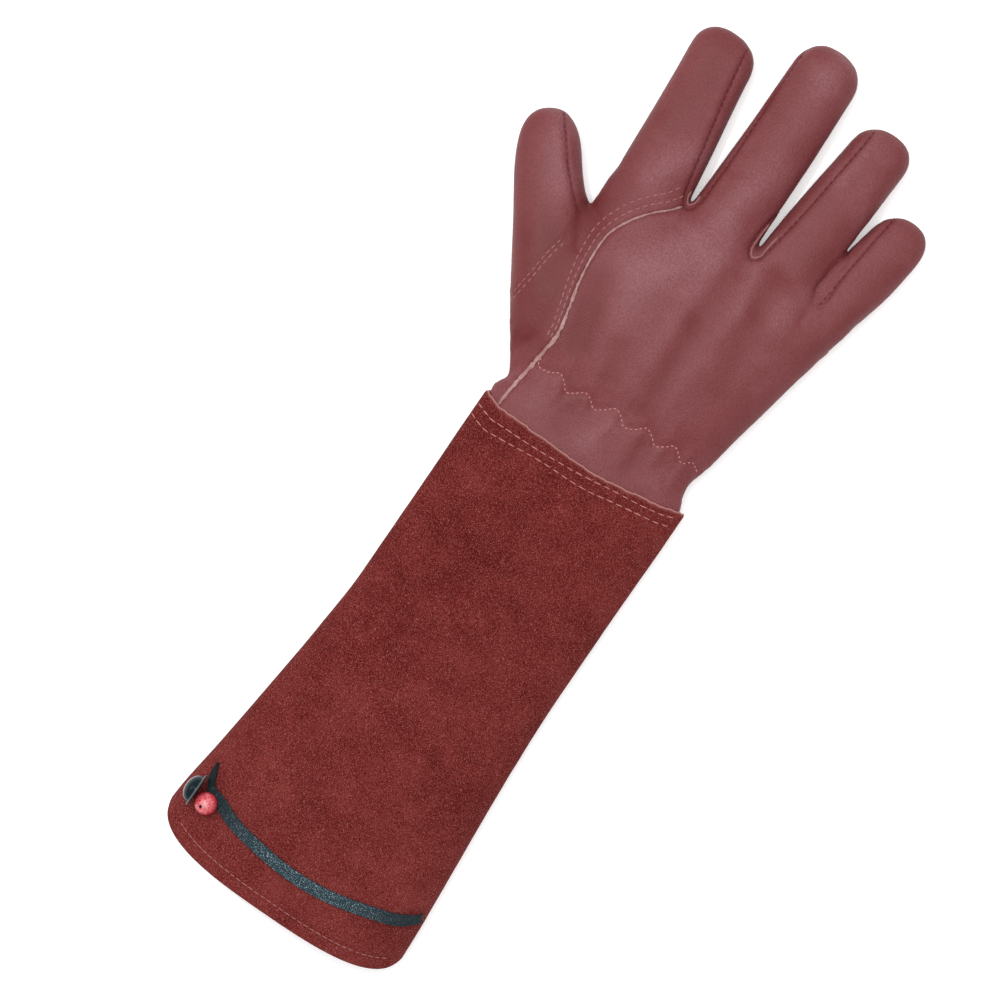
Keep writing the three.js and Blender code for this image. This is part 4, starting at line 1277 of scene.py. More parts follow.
HAND_LEATHER = grain_leather()
CUFF_SUEDE = suede()
WELT_LEATHER = raw_leather()
PALE_THREAD = thread("pale_thread", (0.52, 0.225, 0.205), (0.34, 0.115, 0.105))
PINK_THREAD = thread("pink_thread", (0.38, 0.165, 0.165), (0.25, 0.08, 0.08))
SEAM_THREAD = thread("seam_thread", (0.135, 0.012, 0.016), (0.085, 0.006, 0.009))
ELASTIC = knitted_elastic()
BEAD_PLASTIC = crackled_bead()
BUTTON_PLASTIC = moulded_plastic()


# Stitches: a line of small bent threads


def stitch_tree():
    """Small threads laid end to end along a line, each upright on the line's `up` direction."""
    tree = bpy.data.node_groups.new("stitches_on_a_line", "GeometryNodeTree")
    face = tree.interface
    face.new_socket("Line", in_out="INPUT", socket_type="NodeSocketGeometry")
    for label, value in (("Pitch", 0.004), ("Length", 0.003), ("Thickness", 0.0006)):
        socket = face.new_socket(label, in_out="INPUT", socket_type="NodeSocketFloat")
        socket.default_value = value
    face.new_socket("Thread", in_out="INPUT", socket_type="NodeSocketMaterial")
    face.new_socket("Stitches", in_out="OUTPUT", socket_type="NodeSocketGeometry")
    inp, out = tree.nodes.new("NodeGroupInput"), tree.nodes.new("NodeGroupOutput")
    curve = add(tree, "GeometryNodeMeshToCurve", {"Mesh": inp.outputs["Line"]})
    even = add(
        tree, "GeometryNodeResampleCurve",
        {"Curve": curve.outputs["Curve"], "Length": inp.outputs["Pitch"]}, mode="LENGTH",
    )
    tangent = add(tree, "GeometryNodeInputTangent")
    up = add(tree, "GeometryNodeInputNamedAttribute", {"Name": "up"}, data_type="FLOAT_VECTOR")
    along = add(
        tree, "FunctionNodeAlignRotationToVector", {"Vector": tangent.outputs[0]}, axis="X"
    )
    upright = add(
        tree, "FunctionNodeAlignRotationToVector",
        {"Rotation": along.outputs[0], "Vector": up.outputs["Attribute"]},
        axis="Z", pivot_axis="X",
    )
    ball = add(tree, "GeometryNodeMeshUVSphere", {"Segments": 8, "Rings": 6, "Radius": 0.5})
    thick = inp.outputs["Thickness"]
    scale = add(tree, "ShaderNodeCombineXYZ", {0: inp.outputs["Length"], 1: thick, 2: thick})
    shape = add(
        tree, "GeometryNodeTransform",
        {"Geometry": ball.outputs["Mesh"], "Scale": scale.outputs[0]},
    )
    vary = add(
        tree, "FunctionNodeRandomValue",
        {0: (0.82, 0.85, 0.85), 1: (1.1, 1.15, 1.15), "Seed": 7}, data_type="FLOAT_VECTOR",
    )
    place = add(tree, "GeometryNodeInstanceOnPoints", {
        "Points": even.outputs["Curve"], "Instance": shape.outputs[0],
        "Rotation": upright.outputs[0], "Scale": vary.outputs[0],
    })
    real = add(tree, "GeometryNodeRealizeInstances", {0: place.outputs[0]})
    soft = add(tree, "GeometryNodeSetShadeSmooth", {"Geometry": real.outputs[0]})
    coat = add(tree, "GeometryNodeSetMaterial", {
        "Geometry": soft.outputs[0], "Material": inp.outputs["Thread"],
    })
    tree.links.new(coat.outputs[0], out.inputs[0])
    return tree


STITCHES = stitch_tree()


def sew(name, rows, size, colour):
    """One piece of stitches along several laid lines. A row is its points and normals."""
    points, edges, ups = [], [], []
    for spots, normals in rows:
        if len(spots) < 2:
            continue
        start = len(points)
        points += [tuple(p * MM) for p in spots]
        ups += [tuple(n) for n in normals]
        edges += [(start + i, start + i + 1) for i in range(len(spots) - 1)]
    mesh = bpy.data.meshes.new(name)
    mesh.from_pydata(points, edges, [])
    layer = mesh.attributes.new("up", "FLOAT_VECTOR", "POINT")
    layer.data.foreach_set("vector", np.array(ups, np.float32).ravel())
    made = linked_object(name, mesh)
    modifier = made.modifiers.new("stitches", "NODES")
    modifier.node_group = STITCHES
    values = dict(zip(("Pitch", "Length", "Thickness"), (value * MM for value in size)))
    values["Thread"] = colour
    for item in STITCHES.interface.items_tree:
        if item.in_out == "INPUT" and item.name in values:
            modifier[item.identifier] = values[item.name]
    bpy.context.view_layer.update()
    graph = bpy.context.evaluated_depsgraph_get()
    plain = bpy.data.meshes.new_from_object(made.evaluated_get(graph))
    made.modifiers.remove(modifier)
    made.data = plain
    finish_piece(made, "thread")


THREAD_CLEARANCE = 0.3
# Each kind of stitch: pitch, length and thickness
BACK_STITCH = (3.2, 2.6, 0.5)
THUMB_ROOT_STITCH = (3.0, 2.5, 0.4)
ELASTIC_STITCH = (2.0, 1.4, 0.6)
PALM_STITCH = (3.3, 2.5, 0.55)
FINGER_SEAM_STITCH = (3.0, 2.2, 0.5)
COLLAR_STITCH = (4.2, 3.5, 0.46)
HEM_STITCH = (3.0, 2.9, 0.38)


def raised(laid, by):
    """A laid line moved off its surface, and kept clear of the table."""
    spots, normals = laid
    spots = spots + normals * by
    spots[:, 2] = np.maximum(spots[:, 2], THREAD_CLEARANCE)
    return spots, normals


# The hand

# Painted shade: how much darker the colour is painted where the surface turns away from the hand's
# flat sides, so that rounded outlines look shaded
EDGE_SHADE = 0.7
EDGE_SHADE_FROM, EDGE_SHADE_TO = 0.1, 0.42
# Stands clear of the side seam, where the patch's suede ends
PATCH_STOP = SIDE_SEAM - 0.4
# The patch's edge: how far it rolls and dips, how far in its stitches lie, how low it may come
PATCH_ROLL = 0.35
PATCH_ROW = 2.2
PATCH_LOWEST = 0.05


def painted_edge_shade(normals):
    return EDGE_SHADE * (1 - step_between(np.abs(normals[:, 2]), EDGE_SHADE_FROM, EDGE_SHADE_TO))


skin, skin_faces = make_skin()
skin, skin_faces, panel_of, panel_names = cut_panels(skin, skin_faces)
patch_values = np.minimum(
    inside_distance(skin[:, 0], skin[:, 1], smooth_line(PATCH_OUTLINE + PATCH_OUTLINE[:1], 2.0)),
    PATCH_STOP - skin[:, 2],
)
skin, skin_faces, panel_of, patch_values = cut_along(skin, skin_faces, panel_of, patch_values)
skin_normals = outward_normals(skin, skin_faces)
between = seam_points(skin, skin_faces, panel_of)
thumb_seam = lay_on(surface_under(skin, skin_faces), smooth_line(THUMB_SIDE_SEAM, 0.7))[0]
seam_gap = nearest_of(np.concatenate([skin[between], thumb_seam]), skin)
relief = leather_relief(skin, skin_normals, seam_gap)
skin = skin + skin_normals * relief[:, None]
skin[:, 2] = np.maximum(skin[:, 2], 0.0)
skin_normals = outward_normals(skin, skin_faces)
hand_surface = surface_under(skin, skin_faces)
back_share = step_between(skin_normals[:, 2], -0.2, 0.3)
seam_and_edge_shade = bell(seam_gap, 0.6) + 0.2 * bell(seam_gap, 1.9)
seam_and_edge_shade *= open_seams(skin[:, 0], skin[:, 1], back_share)
# Painted shade: the hand's turned-down sides are coloured darker, through the seam share.
seam_and_edge_shade += painted_edge_shade(skin_normals)
# Painted light and shade: the back's fold ridges are coloured lighter and their hollows darker.
painted_fold_light = back_share * soft_folds(skin[:, 0], skin[:, 1], BACK_FOLDS)

for number, panel in enumerate(panel_names):
    chosen = skin_faces[panel_of == number]
    body, wall, used = with_wall(skin, skin_normals, chosen, -LEATHER, 0.0)
    body[:, 2] = np.maximum(body[:, 2], 0.0)
    shares = {"seam": np.tile(seam_and_edge_shade[used], 2), "tone": np.tile(painted_fold_light[used], 2)}
    made = mesh_object(panel + "_leather", body, wall, HAND_LEATHER, shares)
    finish_piece(made, "grain_leather", panel)


def palm_patch():
    """The suede follows the palm, rolls over at its edge and thins out up the hand's side."""
    inside = patch_values[skin_faces]
    chosen = skin_faces[(inside.min(1) >= 0) & (inside.max(1) > 0)]
    corners = np.unique(chosen)
    edge_gap, height = patch_values[corners], skin[corners, 2]
    fall = PATCH_ROLL * bell(edge_gap, 1.0) + PATCH_ROLL * bell(edge_gap - PATCH_ROW, 0.7)
    outer = SEAT_GAP + PATCH_SUEDE - fall
    outer *= 1 - 0.55 * step_between(height, 3.0, 7.5)
    outer = np.minimum(outer, np.maximum(height - TABLE_CLEARANCE, SEAT_GAP + 0.15))
    body, wall, _ = with_wall(skin, skin_normals, chosen, SEAT_GAP, outer)
    body[:, 2] = np.maximum(body[:, 2], PATCH_LOWEST)
    shares = {
        "seam": np.tile(0.5 * bell(edge_gap - PATCH_ROW, 0.6), 2),
        "raw": np.tile(0.75 * bell(edge_gap, 0.45), 2),
    }
    made = mesh_object("palm_patch_suede", body, wall, CUFF_SUEDE, shares)
    finish_piece(made, "suede", "palm_patch")


palm_patch()


# The cuff

CUFF_COLUMNS = ("along", "left", "right", "edge", "high")
CUFF_ROWS = [
    (-240, -60.8, 56.3, 6.0, 25.0),
    (-231, -60.64, 56.0, 6.0, 25.0),
    (-212, -60.0, 55.5, 6.0, 24.9),
    (-183.6, -56.6, 53.7, 5.85, 23.94),
    (-155.2, -53.4, 51.4, 5.85, 22.5),
    (-122, -50.1, 49.2, 5.98, 21.06),
    (-93.5, -48.2, 48.2, 6.12, 20.1),
    (-46.1, -48.16, 48.1, 6.46, 19.26),
    (-20, -48.4, 48.3, 6.8, 18.9),
    (12, -48.4, 48.3, 6.8, 18.9),
]
# How far below the table the cuff's underside would reach, which the table presses flat
CUFF_SETTLE = 1.2
# Long soft ridges and hollows of the cuff's back: start, end, width and height
CUFF_DENTS = [
    (-24, -70, -11.5, -147, 21, -1.2),
    (19, -47, 25, -118, 15.4, -1.2),
    (2, -71, 9.6, -190, 13.4, 1.0),
    (-9.6, -199, 29, -185, 17.3, -1.2),
]
COLLAR_BACK = [
    (-52, 0), (-48.5, -2), (-44, -4), (-40, -5.5), (-20, -6), (0, -6.5), (10, -6), (20, -4.5),
    (30, -3), (40, -1), (46, 1), (52, 1.5),
]
COLLAR_PALM = [
    (-52, -2.4), (-48, -2), (-45, 0), (-40, 3), (-20, 5.6), (0, 6), (20, 5), (40, 2.6),
    (46, 1), (52, 1.5),
]
# The hem's curve: its lowest place, how far the back draws it up, its corners' rise and its row
HEM_DROP = -231.0
HEM_LIFT = 1.8
HEM_CORNER = 21.5
HEM_ROW = 5.2
# The cuff's mouth in plan
MOUTH_MIDDLE = -2.2
MOUTH_HALF = 58.6
# How far below the collar's edge its two rows run, by place across the cuff's back
COLLAR_ROWS = [
    (-52, 6.8, 11.8),
    (-47, 6.5, 11.5),
    (-30, 6.0, 10.2),
    (0, 3.6, 7.6),
    (20, 2.9, 7.3),
    (52, 3.4, 7.2),
]
PALM_COLLAR_ROWS = (3.0, 7.0)
# How square the cuff's section is, over its back and underneath
BACK_ROUNDNESS, PALM_ROUNDNESS = 2.15, 2.7
# How far its steps crowd together at its narrow sides and at its two ends
SIDE_CROWDING, END_CROWDING = 0.18, 0.055
# Where the cuff's breadth is read for the hem
HEM_PROBE = -222.0
# How deep the rows of stitches and the little finger's side seam sink into the suede
ROW_SINK, SIDE_SEAM_SINK = 0.4, 0.2
# Steps round the cuff and along it
CUFF_STEPS = ((230, 190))


def cuff_points(turn, y):
    """Places on the cuff's outer side, by the turn round it from the little finger's side."""
    s = read_rows(CUFF_COLUMNS, CUFF_ROWS, y)
    c, t = np.cos(turn), np.sin(turn)
    n = np.where(t > 0, BACK_ROUNDNESS, PALM_ROUNDNESS)
    rise = np.where(t > 0, s["high"] - s["edge"], s["edge"] + CUFF_SETTLE)
    x = (s["left"] + s["right"]) / 2
    x = x + (s["right"] - s["left"]) / 2 * np.sign(c) * np.abs(c) ** (2 / n)
    z = s["edge"] + rise * np.sign(t) * np.abs(t) ** (2 / n)
    z = z + np.maximum(t, 0) * soft_folds(x, y, CUFF_DENTS)
    return np.stack([x, y + 0 * x, np.maximum(z, 0)], -1)


def turn_at(x, y):
    """The turn round the cuff's back where it has this x."""
    s = read_rows(CUFF_COLUMNS, CUFF_ROWS, np.asarray(y, float))
    share = (x - (s["left"] + s["right"]) / 2) / ((s["right"] - s["left"]) / 2)
    share = np.clip(share, -1, 1)
    return np.arccos(np.sign(share) * np.abs(share) ** (BACK_ROUNDNESS / 2))


def hem_line(x, turn):
    """The curved hem, which the back's leather draws up a little."""
    share = np.clip(np.abs(x - MOUTH_MIDDLE) / MOUTH_HALF, 0, 1)
    lift = HEM_LIFT * np.sqrt(np.maximum(np.sin(turn), 0))
    return HEM_DROP + lift + (HEM_CORNER - lift) * (1 - (1 - share**3) ** (1 / 3))


def collar_line(x, turn):
    back = np.interp(x, *np.array(COLLAR_BACK, float).T)
    palm = np.interp(x, *np.array(COLLAR_PALM, float).T)
    return np.where(np.sin(turn) > 0, back, palm)


def collar_rows(x, turn):
    """How far below the collar its two rows of stitches run."""
    back = read_rows(("x", "first", "second"), COLLAR_ROWS, x)
    over = np.sin(turn) > 0
    first, second = PALM_COLLAR_ROWS
    return np.where(over, back["first"], first), np.where(over, back["second"], second)


def wall_normals(grid):
    """Outward normals of a closed ring grid, whose first direction goes round."""
    round_ = np.roll(grid, -1, 0) - np.roll(grid, 1, 0)
    ahead = np.gradient(grid, axis=1)
    normal = np.cross(ahead, round_)
    return normal / np.maximum(np.linalg.norm(normal, axis=2), 1e-9)[:, :, None]


def cuff_edges(turn):
    """The hem's and the ragged collar's places along the cuff, and the collar's across it."""
    mouth = cuff_points(turn, np.full(turn.shape, HEM_PROBE))
    top = cuff_points(turn, np.zeros(turn.shape))
    ragged = 0.35 * soft_noise(top, 2.2, 31) + 0.25 * soft_noise(top, 6, 32)
    return hem_line(mouth[:, 0], turn), collar_line(top[:, 0], turn) + ragged, top[:, 0]


def ring_grid_faces(around, lengthwise):
    """Four-cornered faces of a tube of points that run along it, one line after another."""
    faces = []
    k = np.arange(lengthwise - 1)
    for i in range(around):
        first, second = i * lengthwise + k, (i + 1) % around * lengthwise + k
        faces.append(np.stack([first, first + 1, second + 1, second], 1))
    return np.concatenate(faces)


def make_cuff():
    """Its outer side as points, normals and faces, with shares of raw edge, seam with painted edge
    shade, and a tone that is paler towards the hem and near the collar.
    """
    around, lengthwise = CUFF_STEPS
    turn = 2 * math.pi * (np.arange(around) + 0.5) / around
    turn = turn - SIDE_CROWDING * np.sin(2 * turn)
    low_edge, high_edge, top_x = cuff_edges(turn)
    v = np.linspace(0, 1, lengthwise)
    v = v - END_CROWDING * np.sin(2 * math.pi * v)
    y = low_edge[:, None] + (high_edge - low_edge)[:, None] * v[None, :]
    grid = cuff_points(np.broadcast_to(turn[:, None], y.shape), y)
    normal = wall_normals(grid)
    from_hem, from_collar = y - low_edge[:, None], high_edge[:, None] - y
    flat = grid.reshape(-1, 3)
    over = step_between(normal[:, :, 2], -0.1, 0.5)
    soft = 0.32 * soft_noise(flat, 26, 41) + 0.14 * soft_noise(flat, 8, 42)
    soft = soft.reshape(y.shape) + 0.05 * soft_noise(flat, 2.6, 43).reshape(y.shape)
    flat_side = np.minimum(1, 1.6 * np.abs(np.sin(turn)))[:, None] ** 2
    seams = 0.3 * bell(from_hem - 2.4, 2.6) - ROW_SINK * bell(from_hem - HEM_ROW, 0.8)
    for row in collar_rows(top_x, turn):
        seams -= ROW_SINK * bell(from_collar - row[:, None], 0.8)
    seams *= flat_side
    seams -= 0.45 * bell(from_collar, 0.6) + 0.5 * bell(from_hem, 0.7)
    away = step_between(from_collar, 2, 14)
    grid = grid + normal * (seams + over * away * soft)[:, :, None]
    side = np.abs(np.sin(turn))[:, None] * 60
    ulnar = bell(np.where(np.cos(turn)[:, None] > 0, side, 99), 1.4)
    ulnar = ulnar * step_between(from_collar, 1, 4)
    grid = grid - normal * (SIDE_SEAM_SINK * ulnar)[:, :, None]
    grid[:, :, 2] = np.maximum(grid[:, :, 2], 0)
    normals = wall_normals(grid).reshape(-1, 3)
    raw = 0.9 * bell(from_collar, 0.55) * (0.75 + 0.25 * np.sign(over - 0.5))
    seam = 0.25 * bell(from_hem - HEM_ROW, 0.5) * flat_side + 0.4 * ulnar
    # A tone that is paler towards the hem, a little darker above the middle and paler again near the
    # collar.
    tone_band = 0.55 * (1 - step_between(y, -200, -120)) - 0.2 * step_between(y, -150, -90)
    tone_band = tone_band + 0.25 * step_between(y, -40, -10)
    return grid.reshape(-1, 3), normals, ring_grid_faces(around, lengthwise), {
        "raw": np.tile(raw.ravel(), 2),
        # Painted shade: the cuff's turned-down sides are coloured darker, through the seam share.
        "seam": np.tile(seam.ravel() + painted_edge_shade(normals), 2),
        "tone": np.tile(tone_band.ravel(), 2),
    }


cuff_skin, cuff_normals, cuff_faces, cuff_shares = make_cuff()
body, wall, used = with_wall(cuff_skin, cuff_normals, cuff_faces, -SUEDE, 0.0)
body[:, 2] = np.maximum(body[:, 2], 0.0)
cuff = mesh_object("cuff_suede", body, wall, CUFF_SUEDE, cuff_shares)
finish_piece(cuff, "suede", "cuff")
cuff_surface = surface_under(cuff_skin, cuff_faces)


# Welts in three seams

# How high the welts' middles stand over the skin, and how low the palm's may come
BACK_WELT_LIFT, PALM_WELT_LIFT, WELT_LOWEST = 0.25, 0.35, 0.05


def palm_welt(name, line, node):
    """A thin piping that faces the table."""
    spots, normals = lay_on(hand_surface, smooth_line(line, 0.8), False)
    points, faces = cord_along(spots, normals, 1.1, 0.9, PALM_WELT_LIFT, ragged=0.05, seed=51)
    points[:, 2] = np.maximum(points[:, 2], WELT_LOWEST)
    finish_piece(mesh_object(name, points, faces, WELT_LEATHER), "welt_leather", node)


def back_welt():
    """A thin lip beside the knuckles that becomes a wide raw edge towards the wrist."""
    line = beside(smooth_line(BACK_SEAM, 0.7), -0.35)
    line = line[(line[:, 1] > -5.2) & (line[:, 1] < 104.5)]
    spots, normals = lay_on(hand_surface, line)
    broad = 0.9 + 0.65 * (1 - step_between(spots[:, 1], 34, 62))
    points, faces = cord_along(spots, normals, 1.0, 1.0, BACK_WELT_LIFT)
    centre, upright, broad = (
        np.repeat(rows, CORD_SIDES, axis=0)
        for rows in (spots + normals * BACK_WELT_LIFT, normals, broad[:, None])
    )
    away = points - centre
    lift = (away * upright).sum(1, keepdims=True)
    wide = broad * (1 + 0.55 * soft_noise(points, 2.0, 52))[:, None]
    points = centre + (away - lift * upright) * wide + lift * upright * 1.1
    points = points + 0.42 * (broad - 0.6) * rough_shift(points, 1.3, 53)
    made = mesh_object("back_welt_edge", points, faces, WELT_LEATHER)
    finish_piece(made, "welt_leather", "back_welt")


back_welt()
palm_welt("finger_welt_edge", FRONT_SEAM, "finger_welt")
palm_welt("thumb_welt_edge", THUMB_PALM_SEAM[2:-2], "thumb_welt")


CLEFT_ROLLS = [
    [(-25.2, 112), (-24.6, 108.4), (-22.9, 106.4), (-21.2, 108.2), (-20.6, 112.5)],
    [(8.8, 119), (8.5, 110), (9.0, 105.2), (10.8, 103.2), (12.8, 104.6), (13.9, 110), (14.8, 116)],
]


def cleft_rolls():
    """The fourchettes' turned edges, which show as pale rolls at the bottom of two clefts; their
    paleness is a painted highlight.
    """
    rolls = []
    for line in CLEFT_ROLLS:
        spots, normals = lay_on(hand_surface, smooth_line(line, 0.5))
        rolls.append(cord_along(spots, normals, 1.0, 0.8, 0.15, ragged=0.04, seed=61))
    points, faces = join_parts(rolls)
    # Painted highlight: the rolls are coloured as the lightest leather, with a little of the raw
    # edge's pale colour.
    shares = {"tone": np.full(len(points), 1.0), "raw": np.full(len(points), 0.12)}
    made = mesh_object("cleft_rolls", points, faces, HAND_LEATHER, shares)
    finish_piece(made, "grain_leather")


cleft_rolls()


# Stitching


def hand_stitches():
    """Two rows follow the back's welt and part from it towards the index finger."""
    seam = smooth_line(BACK_SEAM, 1.0)
    spread = step_between(seam[:, 1], 25, 108)[:, None]
    rows = []
    for near, far in ((1.6, 3.4), (3.3, 7.0)):
        line = seam + (beside(seam, 1.0) - seam) * (near + (far - near) * spread)
        line = line[(line[:, 1] > 30) & (line[:, 0] < -25.5)]
        rows.append(raised(lay_on(hand_surface, line), 0.0))
    sew("hand_stitches", rows, BACK_STITCH, PINK_THREAD)
    foot = smooth_line(THUMB_BACK_SEAM, 1.0)
    rows = []
    for by in (0.9, -0.9):
        line = beside(foot, by)
        line = line[(line[:, 1] > 32) & (line[:, 1] < 64)]
        rows.append(raised(lay_on(hand_surface, line), -0.04))
    sew("thumb_root_stitches", rows, THUMB_ROOT_STITCH, PINK_THREAD)
    laid = raised(lay_on(hand_surface, smooth_line(ELASTIC_LINE, 0.8)), 0.06)
    sew("elastic_stitches", [laid], ELASTIC_STITCH, PALE_THREAD)


def underneath(laid):
    """Only the part of a laid line that faces the table."""
    spots, normals = laid
    kept = normals[:, 2] < -0.75
    return spots[kept], normals[kept]


def palm_stitches():
    """Two rows inside the thumb's seam, and one along each long edge of the patch."""
    seam = smooth_line(THUMB_PALM_SEAM[2:-1], 1.0)
    lines = [(beside(seam, by), 0.06) for by in (3.0, 5.0)]
    for edge in (PATCH_OUTLINE[:10], PATCH_OUTLINE[12:] + PATCH_OUTLINE[:1]):
        line = beside(smooth_line(edge, 1.0), PATCH_ROW)
        lines.append((line, SEAT_GAP + PATCH_SUEDE - 0.2))
    rows = [raised(underneath(lay_on(hand_surface, line, False)), by) for line, by in lines]
    sew("palm_stitches", rows, PALM_STITCH, PALE_THREAD)


def finger_stitches():
    """Small dark stitches down in the seams beside the fingers."""
    rows = []
    for line in (
        CLEFT_ONE_BACK[1:6], CLEFT_ONE_BACK[8:12], CLEFT_TWO_BACK[4:7], CLEFT_TWO_BACK[9:13],
        CLEFT_THREE_BACK[7:11], THUMB_SIDE_SEAM,
    ):
        rows.append(raised(lay_on(hand_surface, smooth_line(line, 0.8)), 0.0))
    sew("finger_seam_stitches", rows, FINGER_SEAM_STITCH, SEAM_THREAD)


def cuff_stitches():
    """Two rows under the collar and one along the hem, on the back and underneath."""
    sides = ((True, math.pi / 2), (False, -math.pi / 2))
    x = np.arange(-46.5, 44.0, 1.5)
    collar = []
    for from_above, turn in sides:
        turn = np.full(x.shape, turn)
        for number, row in enumerate(collar_rows(x, turn)):
            wave = 0.25 * np.sin(x / 7.0 + 4 * number)
            line = np.stack([x, collar_line(x, turn) - row + wave], 1)
            collar.append(raised(lay_on(cuff_surface, line, from_above), 0.0))
    sew("collar_stitches", collar, COLLAR_STITCH, PALE_THREAD)
    x = np.arange(-50.0, 50.0, 1.5)
    hem = []
    for from_above, turn in sides:
        line = np.stack([x, hem_line(x, turn) + HEM_ROW], 1)
        hem.append(raised(lay_on(cuff_surface, line, from_above), -0.05))
    sew("hem_stitches", hem, HEM_STITCH, PINK_THREAD)


hand_stitches()
palm_stitches()
finger_stitches()
cuff_stitches()


# Strap, bead and button

STRAP_HEIGHT = 22.0
STRAP_LINE = at_height([
    (54.2, -195.2), (52.6, -197.8), (50, -200), (45, -203), (35, -206), (25, -208.5), (10, -211),
    (-5, -211.5), (-20, -210), (-35, -207), (-41.7, -204.4), (-46.2, -203.0), (-49.4, -200.2),
    (-50.9, -196.4), (-51.8, -191.8),
], STRAP_HEIGHT)
STRAP_WIDTH = 5.2
STRAP_THICK = 1.2
TAIL_WIDTH = 3.2
(BEAD_X, BEAD_Y), (BUTTON_X, BUTTON_Y) = at_height([(-46.9, -207.7), (-52.6, -205.5)], 24.0)
BEAD_CENTRE = (BEAD_X, BEAD_Y, 24.1)
BEAD_RADIUS = 4.65
BEAD_BORE = 0.52
BUTTON_CENTRE = (BUTTON_X, BUTTON_Y, 22.9)
BUTTON_RADIUS = 7.5
BUTTON_RIM = 1.4
BUTTON_DOME = 4.2
BUTTON_DOME_RADIUS = 6.0
# The bead's bore leans from upright, towards the hem
BORE_TILT, BORE_HEADING = math.radians(24.5), math.radians(237)
BORE_LIP = 0.12
BEAD_STEPS, BUTTON_STEPS = 48, 64
# The strap's section and its ribs, and how deep its start is sewn into the side seam
STRAP_CORNER = 0.35
RIB_PITCH, RIB_HEIGHT = 1.1, 0.07
SEAM_DEPTH = 3.0


def strap_section():
    """Places across the strap and up from its foot, round its rounded outline."""
    half = STRAP_WIDTH / 2 - STRAP_CORNER
    corners = []
    for across, up, start in ((1, 0, -90), (1, 1, 0), (-1, 1, 90), (-1, 0, 180)):
        for k in range(4):
            a = math.radians(start + 30 * k)
            corners.append((
                across * half + STRAP_CORNER * math.cos(a),
                STRAP_CORNER + up * (STRAP_THICK - 2 * STRAP_CORNER) + STRAP_CORNER * math.sin(a),
            ))
    corners = np.array(corners)
    outline = []
    for p, following in zip(corners, np.roll(corners, -1, axis=0)):
        outline.append(p)
        if abs(following[0] - p[0]) > 2:
            outline += [p + (following - p) * t for t in np.linspace(0, 1, 8)[1:-1]]
    return np.array(outline)


def strap_path():
    """The strap's middle on the cuff, with the cuff's normals there."""
    line = smooth_line(STRAP_LINE, 0.8)
    turn = np.maximum(turn_at(line[:, 0], line[:, 1]), 0.02)
    e = 1e-3
    round_ = cuff_points(turn + e, line[:, 1]) - cuff_points(turn - e, line[:, 1])
    ahead_y = cuff_points(turn, line[:, 1] + e) - cuff_points(turn, line[:, 1] - e)
    normal = unit(np.cross(ahead_y, round_))
    for _ in range(3):
        normal = unit(evened(normal))
    return cuff_points(turn, line[:, 1]), normal


def elastic_strap():
    centre, normal = strap_path()
    across = unit(np.cross(normal, unit(np.gradient(centre, axis=0))))
    run = run_along(centre)
    outline = strap_section()
    sides = len(outline)
    on_top = outline[:, 1] > STRAP_THICK * 0.6
    rib = RIB_HEIGHT * np.cos(2 * math.pi * outline[:, 0] / RIB_PITCH) * on_top
    tail = step_between(-centre[:, 0], 42.5, 47.5) * step_between(centre[:, 1], -203, -199)
    width = 1 - (1 - TAIL_WIDTH / STRAP_WIDTH) * tail
    width = width * (1 - 0.75 * step_between(run, run[-1] - 6, run[-1]))
    width = width * (1 - 0.34 * (1 - step_between(run, 1.0, 15.0)))
    into_seam = SEAM_DEPTH * (1 - step_between(run, 0.0, 5.0))
    points = np.concatenate([
        centre[i]
        + across[i] * outline[:, :1] * width[i]
        + normal[i] * (outline[:, 1:] + rib[:, None] + SEAT_GAP - into_seam[i])
        for i in range(len(centre))
    ])
    x = np.repeat(centre[:, 0], sides)
    # Painted shadow: darker near the bead and the button, along the tail beside the button, and where
    # the strap runs into the side seam; carried in the seam share.
    dark = 0.78 * (1 - step_between(x, -44, -12)) + 0.85 * step_between(x, 22, 50)
    dark = np.maximum(dark, np.repeat(tail, sides))
    faces = tube_faces(len(centre), sides, inside_out=True)
    made = mesh_object("elastic_strap_knit", points, faces, ELASTIC, {"seam": dark})
    layer = made.data.uv_layers.new(name="strap_map")
    place = np.stack([np.repeat(run, sides), np.tile(outline[:, 0], len(centre))], 1)
    corners = np.zeros(len(made.data.loops), np.int32)
    made.data.loops.foreach_get("vertex_index", corners)
    layer.data.foreach_set("uv", place[corners].astype(np.float32).ravel())
    finish_piece(made, "elastic", "elastic_strap")


def turned_piece(profile, steps):
    """A round piece about +Z, from (radius, height) rows. They end on the axis or close up."""
    closed = profile[0] == profile[-1]
    points, rings = [], []
    for radius, height in profile[:-1] if closed else profile:
        start = len(points)
        if radius < 1e-6:
            rings.append([start])
            points.append((0.0, 0.0, height))
            continue
        rings.append(list(range(start, start + steps)))
        for k in range(steps):
            a = 2 * math.pi * k / steps
            points.append((radius * math.cos(a), radius * math.sin(a), height))
    pairs = list(zip(rings[:-1], rings[1:]))
    if closed:
        pairs.append((rings[-1], rings[0]))
    faces = []
    for low, high in pairs:
        for k in range(steps):
            j = (k + 1) % steps
            if len(low) == 1:
                faces.append((low[0], high[j], high[k]))
            elif len(high) == 1:
                faces.append((low[k], low[j], high[0]))
            else:
                faces.append((low[k], low[j], high[j], high[k]))
    return np.array(points), faces


